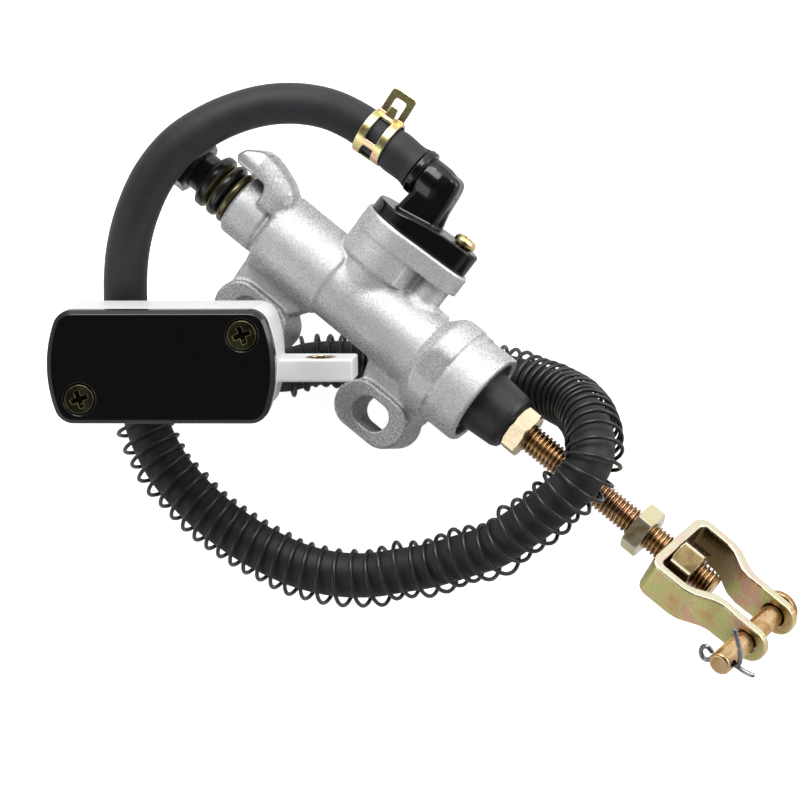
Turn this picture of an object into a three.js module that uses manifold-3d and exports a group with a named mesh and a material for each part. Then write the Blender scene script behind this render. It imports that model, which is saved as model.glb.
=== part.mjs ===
// Brake master cylinder for a foot-operated motorcycle rear brake, with its
// remote reservoir, feed hose, push rod and pedal clevis.
// Frame (mm): +X along the cylinder bore towards the push rod, +Y along the
// inlet boss, +Z the outward normal of the mounting lugs' front faces.
// Origin: on the back (mounting) face of the first lug, on its centre line.
// Everything is drawn about the bore point, where the bore axis meets the inlet
// boss axis, and the whole group is moved to the origin last.
import * as THREE from 'three';
import { mergeVertices } from 'three/addons/utils/BufferGeometryUtils.js';
import Module from 'manifold-3d';

const wasm = await Module();
wasm.setup();

// ---- driving dimensions (mm, from the bore point) ---------------------------
// cylinder
const BORE_R = 5.55;
const PORT_X = -32.0;           // outlet port face
const MOUTH_X = 35.7;           // open end of the collar
const MOUTH_R = 9.2;            // boot recess
const BARREL_OUTLET_R = 8.9;    // barrel on the outlet side of the inlet boss
const BARREL_ROD_R = 8.3;       // barrel on the push-rod side
const COLLAR_R = 11.3;          // collar round the boot
const COLLAR_TAIL_R = 11.0;
const BOSS_R = 9.1;             // inlet boss
const BOSS_ROOT_R = 8.15;
const BOSS_TOP = 17.5;
const EAR_X = 12.3;             // centre of the flange ear
// mounting lugs
const LUG_X = [-15.0, 18.5];
const LUG_Y = -17.2;
const LUG_FRONT = 2.0;
const LUG_BACK = -11.5;
const LUG_LENGTH = 17.4;
const LUG_WIDTH = 10.6;
const SLOT_LENGTH = 8.4;
const SLOT_WIDTH = 6.1;
const DATUM = [-8.8, LUG_Y, LUG_BACK];   // the origin, seen from the bore point
// inlet elbow
const ELBOW_SCREW_X = 11.9;
const ELBOW_BASE = BOSS_TOP + 0.15;
const SPIGOT_Y = 29.15;         // axis of the hose spigot
// push rod and clevis
const ROD_R = 3.0;              // M6 push rod
const NUT_BORE_R = ROD_R + 0.15;
const BALL_X = 20.4;            // ball centre in the piston
const BALL_R = 3.4;
const ROD_HEX = 11.0;           // hexagons: size across corners
const LOCK_NUT_HEX = 11.4;
const CLEVIS_NUT_HEX = 10.4;
const BANJO_HEX = 13.0;
const PIN_X = 111.0;            // clevis pin axis
const PIN_R = 2.5;
const STRAP_T = 2.0;            // clevis strap thickness
const STRAP_W = 8.5;
const CLEVIS_ROLL = -55;        // pin direction, degrees from +Y about +X
const SPLIT_PIN_Y = -14.9;      // place along the clevis pin
const SPLIT_PIN_TURN = 158;     // degrees about the clevis pin
const SPLIT_WIRE_R = 0.42;
// reservoir
const RES_L = 47.6;
const RES_W = 23.4;
const RES_D = 22.6;
const CAP_H = 3.4;
const RIM_TOP = -CAP_H - 1.6;   // top of the bowl's rim, below the cap's top
// hose
const HOSE_R = 4.6;
const HOSE_BORE_R = 3.62;

// ---- geometry kit -----------------------------------------------------------
const DEG = Math.PI / 180;
const vec = (x, y, z) => new THREE.Vector3(x, y, z);
const join = (first, ...others) => others.reduce((sum, part) => sum.add(part), first);
const cut = (first, ...tools) => tools.reduce((rest, tool) => rest.subtract(tool), first);

// closed geometry -> solid, welded and wound outwards
function toSolid(geometry) {
  const bare = new THREE.BufferGeometry();
  bare.setAttribute('position', geometry.attributes.position);
  bare.setIndex(geometry.index);
  const welded = mergeVertices(bare, 1e-4);
  const position = welded.attributes.position;
  const index = welded.index.array;
  const corner = (i) => vec().fromBufferAttribute(position, i);
  const triangles = [];
  let volume = 0;
  for (let i = 0; i < index.length; i += 3) {
    const [a, b, c] = index.slice(i, i + 3);
    if (a === b || b === c || c === a) continue;
    triangles.push(a, b, c);
    volume += corner(a).dot(corner(b).cross(corner(c)));
  }
  if (volume < 0) {
    for (let i = 0; i < triangles.length; i += 3) {
      [triangles[i], triangles[i + 1]] = [triangles[i + 1], triangles[i]];
    }
  }
  return new wasm.Manifold(new wasm.Mesh({
    numProp: 3,
    vertProperties: new Float32Array(position.array),
    triVerts: new Uint32Array(triangles),
  }));
}

function toGeometry(solid) {
  const mesh = solid.getMesh();
  const geometry = new THREE.BufferGeometry();
  const positions = new Float32Array(mesh.vertProperties);
  geometry.setAttribute('position', new THREE.BufferAttribute(positions, 3));
  geometry.setIndex(new THREE.BufferAttribute(new Uint32Array(mesh.triVerts), 1));
  geometry.computeVertexNormals();
  return geometry;
}

// Turned pieces: the profile is a list of [place along the axis, radius].
const lathe = (profile, segments) =>
  new THREE.LatheGeometry(profile.map(([along, r]) => new THREE.Vector2(r, along)), segments);
const turnX = (profile, segments) => toSolid(lathe(profile, segments).rotateZ(-90 * DEG));
const turnY = (profile, segments) => toSolid(lathe(profile, segments));
const turnZ = (profile, segments) => toSolid(lathe(profile, segments).rotateX(90 * DEG));
const rod = (start, end, r) => [[start, 0], [start, r], [end, r], [end, 0]];
const ring = (start, end, inner, outer) =>
  [[start, inner], [end, inner], [end, outer], [start, outer], [start, inner]];

// block between two limits on each axis
function box([x0, x1], [y0, y1], [z0, z1]) {
  const geometry = new THREE.BoxGeometry(x1 - x0, y1 - y0, z1 - z0);
  return toSolid(geometry.translate((x0 + x1) / 2, (y0 + y1) / 2, (z0 + z1) / 2));
}

function extrude(shape, start, end, bevel, curveSegments) {
  return new THREE.ExtrudeGeometry(shape, {
    depth: end - start - 2 * bevel,
    bevelEnabled: bevel > 0,
    bevelThickness: bevel,
    bevelSize: bevel,
    bevelOffset: -bevel,
    bevelSegments: 1,
    curveSegments,
  }).translate(0, 0, start + bevel);
}
// prism along Z, shape in (x, y)
const prismZ = (shape, z0, z1, bevel = 0, curveSegments = 6) =>
  toSolid(extrude(shape, z0, z1, bevel, curveSegments));
// prism along Y, shape in (x, z)
const prismY = (shape, y0, y1, curveSegments = 6) =>
  toSolid(extrude(shape, -y1, -y0, 0, curveSegments).rotateX(90 * DEG));
// prism along X, shape in (y, z)
function prismX(shape, x0, x1, bevel) {
  const toX = new THREE.Matrix4().set(0, 0, 1, 0, 1, 0, 0, 0, 0, 1, 0, 0, 0, 0, 0, 1);
  return toSolid(extrude(shape, x0, x1, bevel, 6).applyMatrix4(toX));
}

function polygon(points) {
  const shape = new THREE.Shape();
  points.forEach(([x, y], i) => (i ? shape.lineTo(x, y) : shape.moveTo(x, y)));
  shape.closePath();
  return shape;
}

// points on an arc, both ends included; angles in radians
function arcPoints(cx, cy, r, from, to, steps) {
  return Array.from({ length: steps + 1 }, (_, i) => {
    const angle = from + (to - from) * i / steps;
    return [cx + r * Math.cos(angle), cy + r * Math.sin(angle)];
  });
}

// regular polygon with its first corner at turn degrees
function regular(r, sides, turn = 0) {
  const start = turn * DEG;
  return polygon(arcPoints(0, 0, r, start, start + 2 * Math.PI, sides).slice(0, -1));
}
const hexagon = (acrossCorners, turn) => regular(acrossCorners / 2, 6, turn);

// slot outline along x, centred
function stadium(length, width) {
  const shape = new THREE.Shape();
  const half = length / 2 - width / 2;
  const r = width / 2;
  shape.moveTo(-half, -r);
  shape.lineTo(half, -r);
  shape.absarc(half, 0, r, -90 * DEG, 90 * DEG, false);
  shape.lineTo(-half, r);
  shape.absarc(-half, 0, r, 90 * DEG, 270 * DEG, false);
  return shape;
}

// circles at x = 0 and x = earX joined by their outer tangents
function cam(r, earX, earR) {
  const shape = new THREE.Shape();
  const tangent = Math.acos((r - earR) / earX);
  shape.absarc(0, 0, r, tangent, 2 * Math.PI - tangent, false);
  shape.absarc(earX, 0, earR, -tangent, tangent, false);
  shape.closePath();
  return shape;
}

// round bar or tube along a curve
function sweep(curve, r, sides, steps, holeR = 0) {
  const section = regular(r, sides);
  if (holeR) section.holes.push(regular(holeR, sides));
  return toSolid(new THREE.ExtrudeGeometry(section, {
    steps, bevelEnabled: false, extrudePath: curve,
  }));
}
const smooth = (points) => new THREE.CatmullRomCurve3(points, false, 'centripetal');

// ---- finishes ---------------------------------------------------------------
const FINISHES = {
  cast: { color: 0xc9cacb, roughness: 0.5, metalness: 0.75 },
  rubber: { color: 0x24272a, roughness: 0.7, metalness: 0 },
  black: { color: 0x0c0d0e, roughness: 0.22, metalness: 0 },
  zinc: { color: 0xcdbf7a, roughness: 0.35, metalness: 0.85 },
  gold: { color: 0xc79a5a, roughness: 0.35, metalness: 0.85 },
  bright: { color: 0xe0cf9c, roughness: 0.3, metalness: 0.9 },
  steel: { color: 0xb9bcc0, roughness: 0.3, metalness: 0.9 },
  bronze: { color: 0x57492b, roughness: 0.3, metalness: 0.8 },
  milky: { color: 0xe6e5e0, roughness: 0.45, metalness: 0 },
  olive: { color: 0x6d6747, roughness: 0.35, metalness: 0.85 },
  brass: { color: 0xc8a45c, roughness: 0.35, metalness: 0.9 },
  anodised: { color: 0x8f9499, roughness: 0.35, metalness: 0.8 },
  wire: { color: 0x111213, roughness: 0.28, metalness: 0.1 },
  gasket: { color: 0x1a1b1c, roughness: 0.65, metalness: 0 },
};

const root = new THREE.Group();

function add(name, finish, solid, parent = root) {
  const material = new THREE.MeshStandardMaterial(FINISHES[finish]);
  const mesh = new THREE.Mesh(toGeometry(solid), material);
  mesh.name = name;
  parent.add(mesh);
}

// ---- cylinder casting -------------------------------------------------------
const atLugs = (solid) => LUG_X.map((x) => solid.translate(x, LUG_Y, 0));

function barrel() {
  return turnX([
    [PORT_X, 0], [PORT_X, 6.4], [PORT_X + 0.7, 7.1], [-24.4, 7.1], [-24.0, 6.7],
    [-23.2, 6.7], [-22.9, 7.7], [-22.2, 8.55], [-21.4, BARREL_OUTLET_R],
    [-5.2, BARREL_OUTLET_R], [-4.6, BARREL_ROD_R], [19.5, BARREL_ROD_R], [20.5, 9.4],
    [22.1, 10.9], [23.0, COLLAR_R], [27.1, COLLAR_R], [27.6, COLLAR_TAIL_R],
    [MOUTH_X - 0.4, COLLAR_TAIL_R], [MOUTH_X, COLLAR_TAIL_R - 0.4], [MOUTH_X, 0],
  ], 24);
}

// inlet boss, its flange and the column under the flange ear
function inletBoss() {
  const boss = turnY([
    [0, 0], [0, BOSS_ROOT_R], [6.7, BOSS_ROOT_R], [7.5, BOSS_R], [BOSS_TOP, BOSS_R], [BOSS_TOP, 0],
  ], 24);
  const flange = prismY(cam(BOSS_R - 0.02, EAR_X, 4.75), 12.9, BOSS_TOP - 0.02, 7);
  const column = prismY(regular(3.5, 14), 4.0, 13.4).translate(EAR_X, 0, 0);
  return join(boss, flange, column);
}

// anti-rotation claw beside the outlet port
function claw() {
  const base = prismZ(polygon([
    [-27.5, 2.6], [-21.4, 4.0], [-20.9, 7.1], [-24.0, 10.4], [-28.4, 12.0],
    [-33.1, 12.5], [-33.1, 7.2], [-28.3, 7.2], [-27.5, 5.6],
  ]), 0.0, 8.2, 0.6);
  const finger = prismZ(polygon([
    [-36.7, 8.3], [-35.4, 7.2], [-31.0, 7.2], [-31.0, 12.5], [-33.1, 12.5], [-35.9, 10.6],
  ]), 0.9, 8.2, 0.5);
  const shoulder = prismZ(polygon([
    [-28, 4], [-21.0, 4.0], [-21.8, 7.4], [-25.0, 10.2], [-28, 10.2],
  ]), 0.2, 6.2, 0.3);
  return join(base, finger, shoulder);
}

// mounting lugs and the webs that tie them to the barrel
function lugs() {
  const webOutlines = [
    [[-23.3, -4], [-6.2, -4], [-6.2, -8.6], [-9.6, -13.2], [-9.6, -17], [-22.6, -17], [-23.3, -11]],
    [[10.9, -4], [27.0, -4], [27.0, -13.4], [25.0, -17], [12.2, -17], [12.2, -13.0], [10.9, -9.4]],
  ];
  const webs = webOutlines.map((points) => prismZ(polygon(points), -10.4, 0.7));
  const lug = prismZ(stadium(LUG_LENGTH, LUG_WIDTH), LUG_BACK, LUG_FRONT, 0.6, 6);
  return join(...webs, ...atLugs(lug));
}

// stepped bore with circlip groove and boot recess
function boreTool() {
  return turnX([
    [-22.4, 0], [-22.4, 3.4], [-21.4, BORE_R], [24.2, BORE_R], [24.2, 6.6], [25.6, 6.6],
    [25.6, 7.4], [26.9, 7.4], [26.9, 6.6], [28.0, 6.6], [28.0, 7.6], [29.0, MOUTH_R],
    [MOUTH_X + 1, MOUTH_R], [MOUTH_X + 1, 0],
  ], 24);
}

function portTools() {
  const outlet = turnX([
    [PORT_X - 1, 0], [PORT_X - 1, 5.1], [PORT_X + 0.6, 4.5], [-24.4, 4.5],
    [-23.9, 1.6], [-20, 1.6], [-20, 0],
  ], 16);
  const inlet = turnY([
    [3.0, 0], [3.0, 1.1], [8.6, 1.1], [8.6, 6.2], [BOSS_TOP - 0.6, 6.2],
    [BOSS_TOP + 1, 7.2], [BOSS_TOP + 1, 0],
  ], 16);
  const relief = turnY(rod(3.0, 9.2, 0.45), 8).translate(-4.4, 0, 0);
  const screwHole = turnY(rod(7.5, BOSS_TOP + 1, 1.75), 12).translate(ELBOW_SCREW_X, 0, 0);
  return [outlet, inlet, relief, screwHole];
}

// rough-cast flat on the collar's +Z side, and flats on its +Y and -Y sides at the mouth
function collarFlatTools() {
  return [
    box([19.0, 27.15], [-7, 7], [10.15, 14]).rotate([7, 0, 0]),
    box([29.2, 37], [10.45, 13], [-4, 4]),
    box([29.2, 37], [-13, -10.45], [-4, 4]),
  ];
}

function cylinderBody() {
  const slot = prismZ(stadium(SLOT_LENGTH, SLOT_WIDTH), LUG_BACK - 1, LUG_FRONT + 1, 0, 5);
  const casting = join(barrel(), inletBoss(), claw(), lugs());
  return cut(casting, ...collarFlatTools(), boreTool(), ...portTools(), ...atLugs(slot));
}

// ---- outlet banjo bolt and its washers --------------------------------------
function banjoBolt() {
  const shank = turnX([
    [-50.2, 0], [-50.2, 3.4], [-49.6, 4.0], [-43.0, 4.0], [-43.0, 4.3], [-40.5, 4.3],
    [-40.5, 3.9], [-26.4, 3.9], [-25.8, 3.4], [-25.8, 0],
  ], 20);
  const head = prismX(hexagon(BANJO_HEX, 12), -49.4, -43.2, 0.5);
  const drill = turnX(rod(-44.5, -25, 1.2), 10);
  const crossDrill = turnY(rod(-3.2, 6, 0.9), 8).translate(-36.9, 0, 0);
  return cut(join(shank, head), drill, crossDrill);
}

const WASHER_SPANS = [[-40.3, -37.25], [-37.1, -34.35], [-34.2, -32.15]];   // [start, end] in x

function sealingWasher([start, end]) {
  const middle = (start + end) / 2;
  const half = (end - start) / 2;
  return turnX([
    [start, 4.2], [end, 4.2], [end, 4.9], [end - 0.15 * half, 5.6], [middle + 0.4 * half, 6.1],
    [middle - 0.4 * half, 6.1], [start + 0.15 * half, 5.6], [start, 4.9], [start, 4.2],
  ], 20);
}

// ---- inlet elbow, its O-ring and screw --------------------------------------
// flange plate, stepped and sloped on top
function elbowPlate() {
  const above = prismZ(polygon([
    [-12, 20.35], [-3.0, 20.4], [4.2, 21.8], [8.5, 22.3], [20, 22.6], [20, 30], [-12, 30],
  ]), -12, 12);
  return cut(prismY(cam(8.5, ELBOW_SCREW_X, 4.2), ELBOW_BASE, 24.0, 7), above);
}

function inletElbow() {
  const column = turnY([
    [19, 0], [19, 3.95], [27, 3.7], [SPIGOT_Y + 1.2, 3.7], [SPIGOT_Y + 3.4, 2.9],
    [SPIGOT_Y + 4.45, 1.0], [SPIGOT_Y + 4.45, 0],
  ], 20);
  const arm = turnX([[-4.0, 0], [-4.0, 4.45], [0.4, 4.45], [2.0, 3.6], [3.2, 1.8], [3.4, 0]], 20);
  const hoseStop = turnX(ring(-5.7, -3.9, 0.8, 5.2), 24);
  const spigot = turnX([
    [-17.4, 0], [-17.4, 2.5], [-16.4, 3.1], [-14.8, 3.1], [-14.8, 2.85], [-3.0, 2.85], [-3.0, 0],
  ], 14);
  const spigotBore = turnX([[-20, 0], [-20, 1.9], [-0.5, 1.9], [0.5, 0]], 12);
  const [armUp, stopUp, spigotUp, spigotBoreUp] = [arm, hoseStop, spigot, spigotBore]
    .map((part) => part.translate(0, SPIGOT_Y, 0));
  const rib = prismZ(polygon([
    [0, 21], [6.5, 21.6], [5.5, 25.6], [4.6, 28.7], [4.9, 29.2], [4.4, 29.8],
    [3.3, 31.3], [1.2, 33.2], [0, 33.2],
  ]), -1.4, 1.4, 0.25);
  // plug in the inlet boss, with the O-ring groove
  const plug = turnY([
    [10.6, 0], [10.6, 5.2], [11.2, 5.7], [12.0, 5.7], [12.0, 4.6], [14.4, 4.6],
    [14.4, 5.8], [18, 5.8], [18, 0],
  ], 16);
  const columnBore = turnY([[9, 0], [9, 2.1], [SPIGOT_Y, 2.1], [SPIGOT_Y + 1.5, 0]], 12);
  const screwHole = turnY(rod(14, 26, 2.0), 12).translate(ELBOW_SCREW_X, 0, 0);
  const elbow = join(elbowPlate(), column, armUp, stopUp, spigotUp, rib, plug);
  return cut(elbow, columnBore, spigotBoreUp, screwHole);
}

function inletORing() {
  return turnY([
    [12.25, 5.0], [14.15, 5.0], [14.15, 5.8], [13.7, 6.0], [12.7, 6.0], [12.25, 5.8], [12.25, 5.0],
  ], 16);
}

function elbowScrew() {
  const screw = turnY([
    [9.0, 0], [9.0, 1.2], [9.6, 1.55], [22.75, 1.55], [22.75, 2.3], [22.9, 2.55],
    [23.9, 2.5], [24.5, 2.0], [24.7, 0],
  ], 20);
  const long = [-1.5, 1.5];
  const narrow = [-0.32, 0.32];
  const depth = [23.6, 26];
  return cut(screw, box(long, depth, narrow), box(narrow, depth, long))
    .translate(ELBOW_SCREW_X, 0, 0);
}

// ---- piston, cups, spring, stop washer, circlip, boot -----------------------
function piston() {
  return turnX([
    [-1.2, 0], [-1.2, 1.9], [2.2, 2.1], [2.2, 2.9], [5.4, 2.9], [5.4, 5.4], [7.4, 5.4],
    [7.4, 3.6], [14.4, 3.6], [14.4, 5.4], [15.4, 5.4], [15.4, 4.2], [17.6, 4.2], [17.6, 5.4],
    [24.0, 5.4], [24.0, 4.9], [22.3, 4.9], [22.0, 3.75],
    // ball socket
    [BALL_X + 0.2, 3.75], [BALL_X - 1.6, 3.4], [BALL_X - 3.0, 2.3], [BALL_X - 3.75, 0],
  ], 24);
}

function primaryCup() {
  return turnX([
    [2.6, 3.05], [5.2, 3.05], [5.2, 5.3], [3.4, 5.4], [2.6, 5.4], [2.6, 4.9],
    [3.9, 4.4], [3.9, 3.7], [2.6, 3.5], [2.6, 3.05],
  ], 24);
}

function secondarySeal() {
  return turnX([
    [15.6, 4.35], [17.4, 4.35], [17.4, 5.2], [16.4, 5.42], [15.6, 5.42], [15.6, 4.35],
  ], 24);
}

const SPRING = { x0: -20.7, x1: 1.4, r0: 4.3, r1: 3.0, turns: 7.5, wireR: 0.5 };

// tapered helix with closed end turns and an open middle
class SpringCurve extends THREE.Curve {
  arcLengthDivisions = 1200;

  getPoint(t) {
    const closed = 0.12;     // share of the turns at each end that is wound close
    const pitch = 0.35;      // pitch of the close turns, as a share of the mean
    const angle = 2 * Math.PI * SPRING.turns * t;
    const r = SPRING.r0 + (SPRING.r1 - SPRING.r0) * t;
    const openPitch = (1 - 2 * pitch * closed) / (1 - 2 * closed);
    let along = pitch * closed + (t - closed) * openPitch;
    if (t < closed) along = pitch * t;
    else if (t > 1 - closed) along = 1 - pitch * (1 - t);
    const x = SPRING.x0 + (SPRING.x1 - SPRING.x0) * along;
    return vec(x, r * Math.cos(angle), r * Math.sin(angle));
  }
}

function retainingRing() {
  return cut(turnX(ring(25.75, 26.75, 5.5, 7.2), 24), box([25, 28], [-1.3, 1.3], [4, 9]));
}

// lip in the collar recess, sleeve, small end round the rod
function dustBoot() {
  return turnX([
    [29.6, 5.4], [33.4, 5.4], [34.4, 5.6], [42.6, 5.2], [42.6, 3.3], [44.2, 3.3],
    [44.2, 4.9], [43.6, 6.0], [42.6, 6.45], [36.0, 6.95], [34.6, 7.1], [34.2, 8.85],
    [33.4, 8.9], [29.6, 8.9], [29.6, 5.4],
  ], 24);
}

// ---- push rod and nuts ------------------------------------------------------
function pushRod() {
  const shaft = turnX([
    [BALL_X - BALL_R, 0], [BALL_X - 2.9, 1.75], [BALL_X - 1.7, 2.95], [BALL_X, BALL_R],
    [BALL_X + 1.6, 3.0], [BALL_X + 2.1, 2.6], [22.75, 2.6], [22.75, 4.5], [23.75, 4.5],
    [23.75, 2.6], [28.0, 2.6], [28.6, ROD_R], [97.8, ROD_R], [98.4, 2.4], [98.4, 0],
  ], 18);
  return join(shaft, prismX(hexagon(ROD_HEX, 16), 44.35, 47.9, 0.25));
}

function hexNut(acrossCorners, turn, x0, x1) {
  const bore = turnX(rod(x0 - 1, x1 + 1, NUT_BORE_R), 24);
  return cut(prismX(hexagon(acrossCorners, turn), x0, x1, 0.25), bore);
}

// ---- clevis, pin and split pin: local +Y is the way the pin's head faces ----
const clevisGroup = new THREE.Group();
clevisGroup.rotation.x = CLEVIS_ROLL * DEG;
root.add(clevisGroup);

// bent strap seen edge-on: one half in (x, y), outer line out, inner line back
function strapOutline() {
  const backY = 10.5;                  // outer half width round the nut
  const armY = 6.8;                    // outer half width at the pin
  const backIn = backY - STRAP_T;
  const armIn = armY - STRAP_T;
  const half = [
    [85.8, backY - 2.4], [86.5, backY - 0.9], [88.0, backY], [95.0, backY],
    [97.2, backY - 0.5], [101.2, armY + 0.7], [103.2, armY], [116.2, armY],
    [116.2, armIn], [102.8, armIn], [100.2, armIn + 0.6], [96.2, backIn - 0.4],
    [94.6, backIn], [88.8, backIn], [88.1, backIn - 0.4], [87.8, backIn - 1.1],
  ];
  return polygon([...half, ...half.map(([x, y]) => [x, -y]).reverse()]);
}

// outline of the rounded cheeks, seen along the pin
function cheekOutline() {
  const half = STRAP_W / 2;
  const shape = new THREE.Shape();
  shape.moveTo(84, -half - 1);
  shape.lineTo(104, -half - 1);
  shape.lineTo(104, -half);
  shape.lineTo(PIN_X, -half);
  shape.absarc(PIN_X + 0.6, 0, half + 0.25, -80 * DEG, 80 * DEG, false);
  shape.lineTo(104, half);
  shape.lineTo(104, half + 1);
  shape.lineTo(84, half + 1);
  shape.closePath();
  return shape;
}

function clevis() {
  const strap = prismZ(strapOutline(), -STRAP_W / 2, STRAP_W / 2)
    .intersect(prismY(cheekOutline(), -14, 14, 10));
  const rodHole = turnX(rod(84, 89, 3.4), 24);
  const pinHole = turnY(rod(-14, 14, PIN_R + 0.2), 20).translate(PIN_X, 0, 0);
  return cut(strap, rodHole, pinHole);
}

// places a piece drawn about the split pin's hole in the clevis pin
const atSplitPin = (solid) =>
  solid.rotate([0, SPLIT_PIN_TURN, 0]).translate(PIN_X, SPLIT_PIN_Y, 0);

function clevisPin() {
  const pin = turnY([
    [-17.0, 0], [-17.0, PIN_R - 0.5], [-16.5, PIN_R], [7.1, PIN_R], [7.1, 4.1],
    [8.3, 4.1], [9.2, 3.3], [9.6, 1.8], [9.7, 0],
  ], 20).translate(PIN_X, 0, 0);
  return cut(pin, atSplitPin(turnX(rod(-4, 4, 0.95), 10)));
}

// eye, shank through the pin and two bent legs; wire lines are [x, z] at y = 0
function splitPin() {
  const wire = (points, steps) =>
    sweep(smooth(points.map(([x, z]) => vec(x, 0, z))), SPLIT_WIRE_R, 4, steps);
  const shank = [[0.2, 0], [-1.6, 0]];
  const eye = wire([
    [-0.25, 0], [1.6, 0], [2.8, 0.12], [3.8, 1.0], [4.6, 1.9],
    [6.0, 1.6], [6.5, 0], [6.0, -1.6], [4.8, -1.9], [3.9, -1.25],
  ], 18);
  const longLeg = wire([
    ...shank, [-2.9, -0.1], [-3.75, -1.0], [-3.5, -3.6], [-2.8, -6.2], [-1.9, -8.4],
  ], 9);
  const shortLeg = wire([...shank, [-2.9, 0.1], [-4.4, 0.55], [-5.8, 0.8], [-7.0, 0.8]], 9);
  return atSplitPin(join(eye, longLeg, shortLeg));
}

// ---- reservoir: local x length, y width, z out of the cap, 0 at its top -----
const RES_CENTRE = vec(-16.89, -33.0, 31.15);
const RES_X = vec(0.7772, 0.6169, -0.1235).normalize();
const RES_Z = vec(0.1869, -0.0393, 0.9797).normalize();
const RES_Y = vec().crossVectors(RES_Z, RES_X).normalize();
const RES_MATRIX = new THREE.Matrix4().makeBasis(RES_X, RES_Y, RES_Z).setPosition(RES_CENTRE);
const CAP_SCREWS = [[-17.2, -6.7], [17.2, 6.7]];   // [x, y]
const NIPPLE_X = 14.0;                             // outlet nipple under the bowl
const NIPPLE_Y = -6.3;
const NIPPLE_TIP = -34.5;
const TAB_HOLE_X = 31.6;
const TAB_HOLE_Z = -15.0;

const reservoirGroup = new THREE.Group();
reservoirGroup.applyMatrix4(RES_MATRIX);
root.add(reservoirGroup);

const atCapScrews = (solid) => CAP_SCREWS.map(([x, y]) => solid.translate(x, y, 0));

// oblong: straight sides, filleted corners, ends bowed out
function oblong(length, width, corner = 4.1) {
  const halfL = length / 2;
  const halfW = width / 2;
  const bow = 2.7 * (halfW / 12) ** 2;
  const bowR = (halfW * halfW + bow * bow) / (2 * bow);
  const bowX = halfL - bowR;
  const cornerY = halfW - corner;
  const cornerX = bowX + Math.sqrt((bowR - corner) ** 2 - cornerY ** 2);
  const meet = Math.atan2(cornerY, cornerX - bowX);   // angle where corner and bow meet
  const end = [
    ...arcPoints(cornerX, -cornerY, corner, -Math.PI / 2, -meet, 4),
    ...arcPoints(bowX, 0, bowR, -meet, meet, 6).slice(1, -1),
    ...arcPoints(cornerX, cornerY, corner, meet, Math.PI / 2, 4),
  ];
  return polygon([...end, ...end.map(([x, y]) => [-x, -y])]);
}
// prism of the reservoir's outline, larger or smaller by grow in length and width
const oblongPrism = (grow, z0, z1, bevel) =>
  prismZ(oblong(RES_L + grow, RES_W + grow), z0, z1, bevel);

function reservoirBody() {
  const bowl = oblongPrism(-1.2, -RES_D, RIM_TOP);
  const rim = oblongPrism(0, RIM_TOP - 2.4, RIM_TOP);
  const hollow = oblongPrism(-4.6, -RES_D + 1.8, RIM_TOP + 1);
  const tab = prismZ(polygon([[22.0, -4.6], [38.9, -4.6], [38.9, 0.2], [22.0, 0.2]]),
    -19.6, -10.2, 0.3);
  const tabHole = turnY(rod(-6, 2, 3.3), 20).translate(TAB_HOLE_X, 0, TAB_HOLE_Z);
  const nipple = turnZ([
    [NIPPLE_TIP, 0], [NIPPLE_TIP, 2.6], [NIPPLE_TIP + 1.1, 3.25], [NIPPLE_TIP + 2.6, 3.25],
    [NIPPLE_TIP + 2.6, 2.95], [-RES_D - 1.6, 2.95], [-RES_D - 1.2, 4.4],
    [-RES_D + 1, 4.8], [-RES_D + 1, 0],
  ], 16).translate(NIPPLE_X, NIPPLE_Y, 0);
  const nippleBore = turnZ(rod(NIPPLE_TIP - 1, -RES_D + 3, 1.9), 12)
    .translate(NIPPLE_X, NIPPLE_Y, 0);
  const bosses = atCapScrews(turnZ(rod(-14, RIM_TOP - 0.1, 2.6), 14));
  const tappings = atCapScrews(turnZ(rod(-13, RIM_TOP + 1, 1.75), 10));
  const gusset = box([16.4, 18.6], [8.0, 10.2], [-14, RIM_TOP - 0.1]);
  const shell = cut(join(bowl, rim), hollow);
  const body = join(shell, tab, nipple, ...bosses, gusset, gusset.rotate([0, 0, 180]));
  return cut(body, tabHole, nippleBore, ...tappings);
}

function mountBushing() {
  return turnY(ring(-4.5, 0.1, 2.35, 3.05), 20).translate(TAB_HOLE_X, 0, TAB_HOLE_Z);
}

// gasket rim with a bellows hanging in the bowl
function diaphragm() {
  const gasket = oblongPrism(-1.4, RIM_TOP + 0.15, -CAP_H - 0.15);
  const bellows = prismZ(oblong(RES_L - 16.1, RES_W - 8.6, 6.4), RIM_TOP - 3.6, RIM_TOP + 0.4);
  const hollow = prismZ(oblong(RES_L - 18.6, RES_W - 11.1, 5.2), RIM_TOP - 2.6, 0);
  return cut(join(gasket, bellows), hollow, ...atCapScrews(turnZ(rod(-9, 0, 2.2), 12)));
}

function reservoirCap() {
  const countersink = turnZ([
    [-5, 0], [-5, 1.85], [-2.3, 1.85], [-0.15, 3.4], [1, 3.4], [1, 0],
  ], 18);
  const ventRecess = box([-15, 15], [-5.6, 5.6], [-CAP_H - 1, -CAP_H + 0.8]);
  return cut(oblongPrism(0.4, -CAP_H, 0, 0.5), ventRecess, ...atCapScrews(countersink));
}

function capScrew() {
  const screw = turnZ([
    [-12.2, 0], [-12.2, 1.1], [-11.6, 1.5], [-2.05, 1.5], [-0.1, 3.1], [0.05, 3.1], [0.05, 0],
  ], 18);
  const long = [-1.9, 1.9];
  const narrow = [-0.4, 0.4];
  const depth = [-1.3, 1];
  const cross = join(box(long, narrow, depth), box(narrow, long, depth));
  return cut(screw, cross.rotate([0, 0, 20]));
}

// ---- feed hose --------------------------------------------------------------
// Most of the hose is measured along three tilted axes through the bore point.
const ACROSS = vec(0.7596, 0.6030, -0.2432);
const ALONG = vec(-0.6217, 0.7832, 0);
const OUT = vec(0.1908, 0.1512, 0.970);
const tilted = ([across, along, out]) => vec(0, 0, 0)
  .addScaledVector(ACROSS, across).addScaledVector(ALONG, along).addScaledVector(OUT, out);
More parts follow.
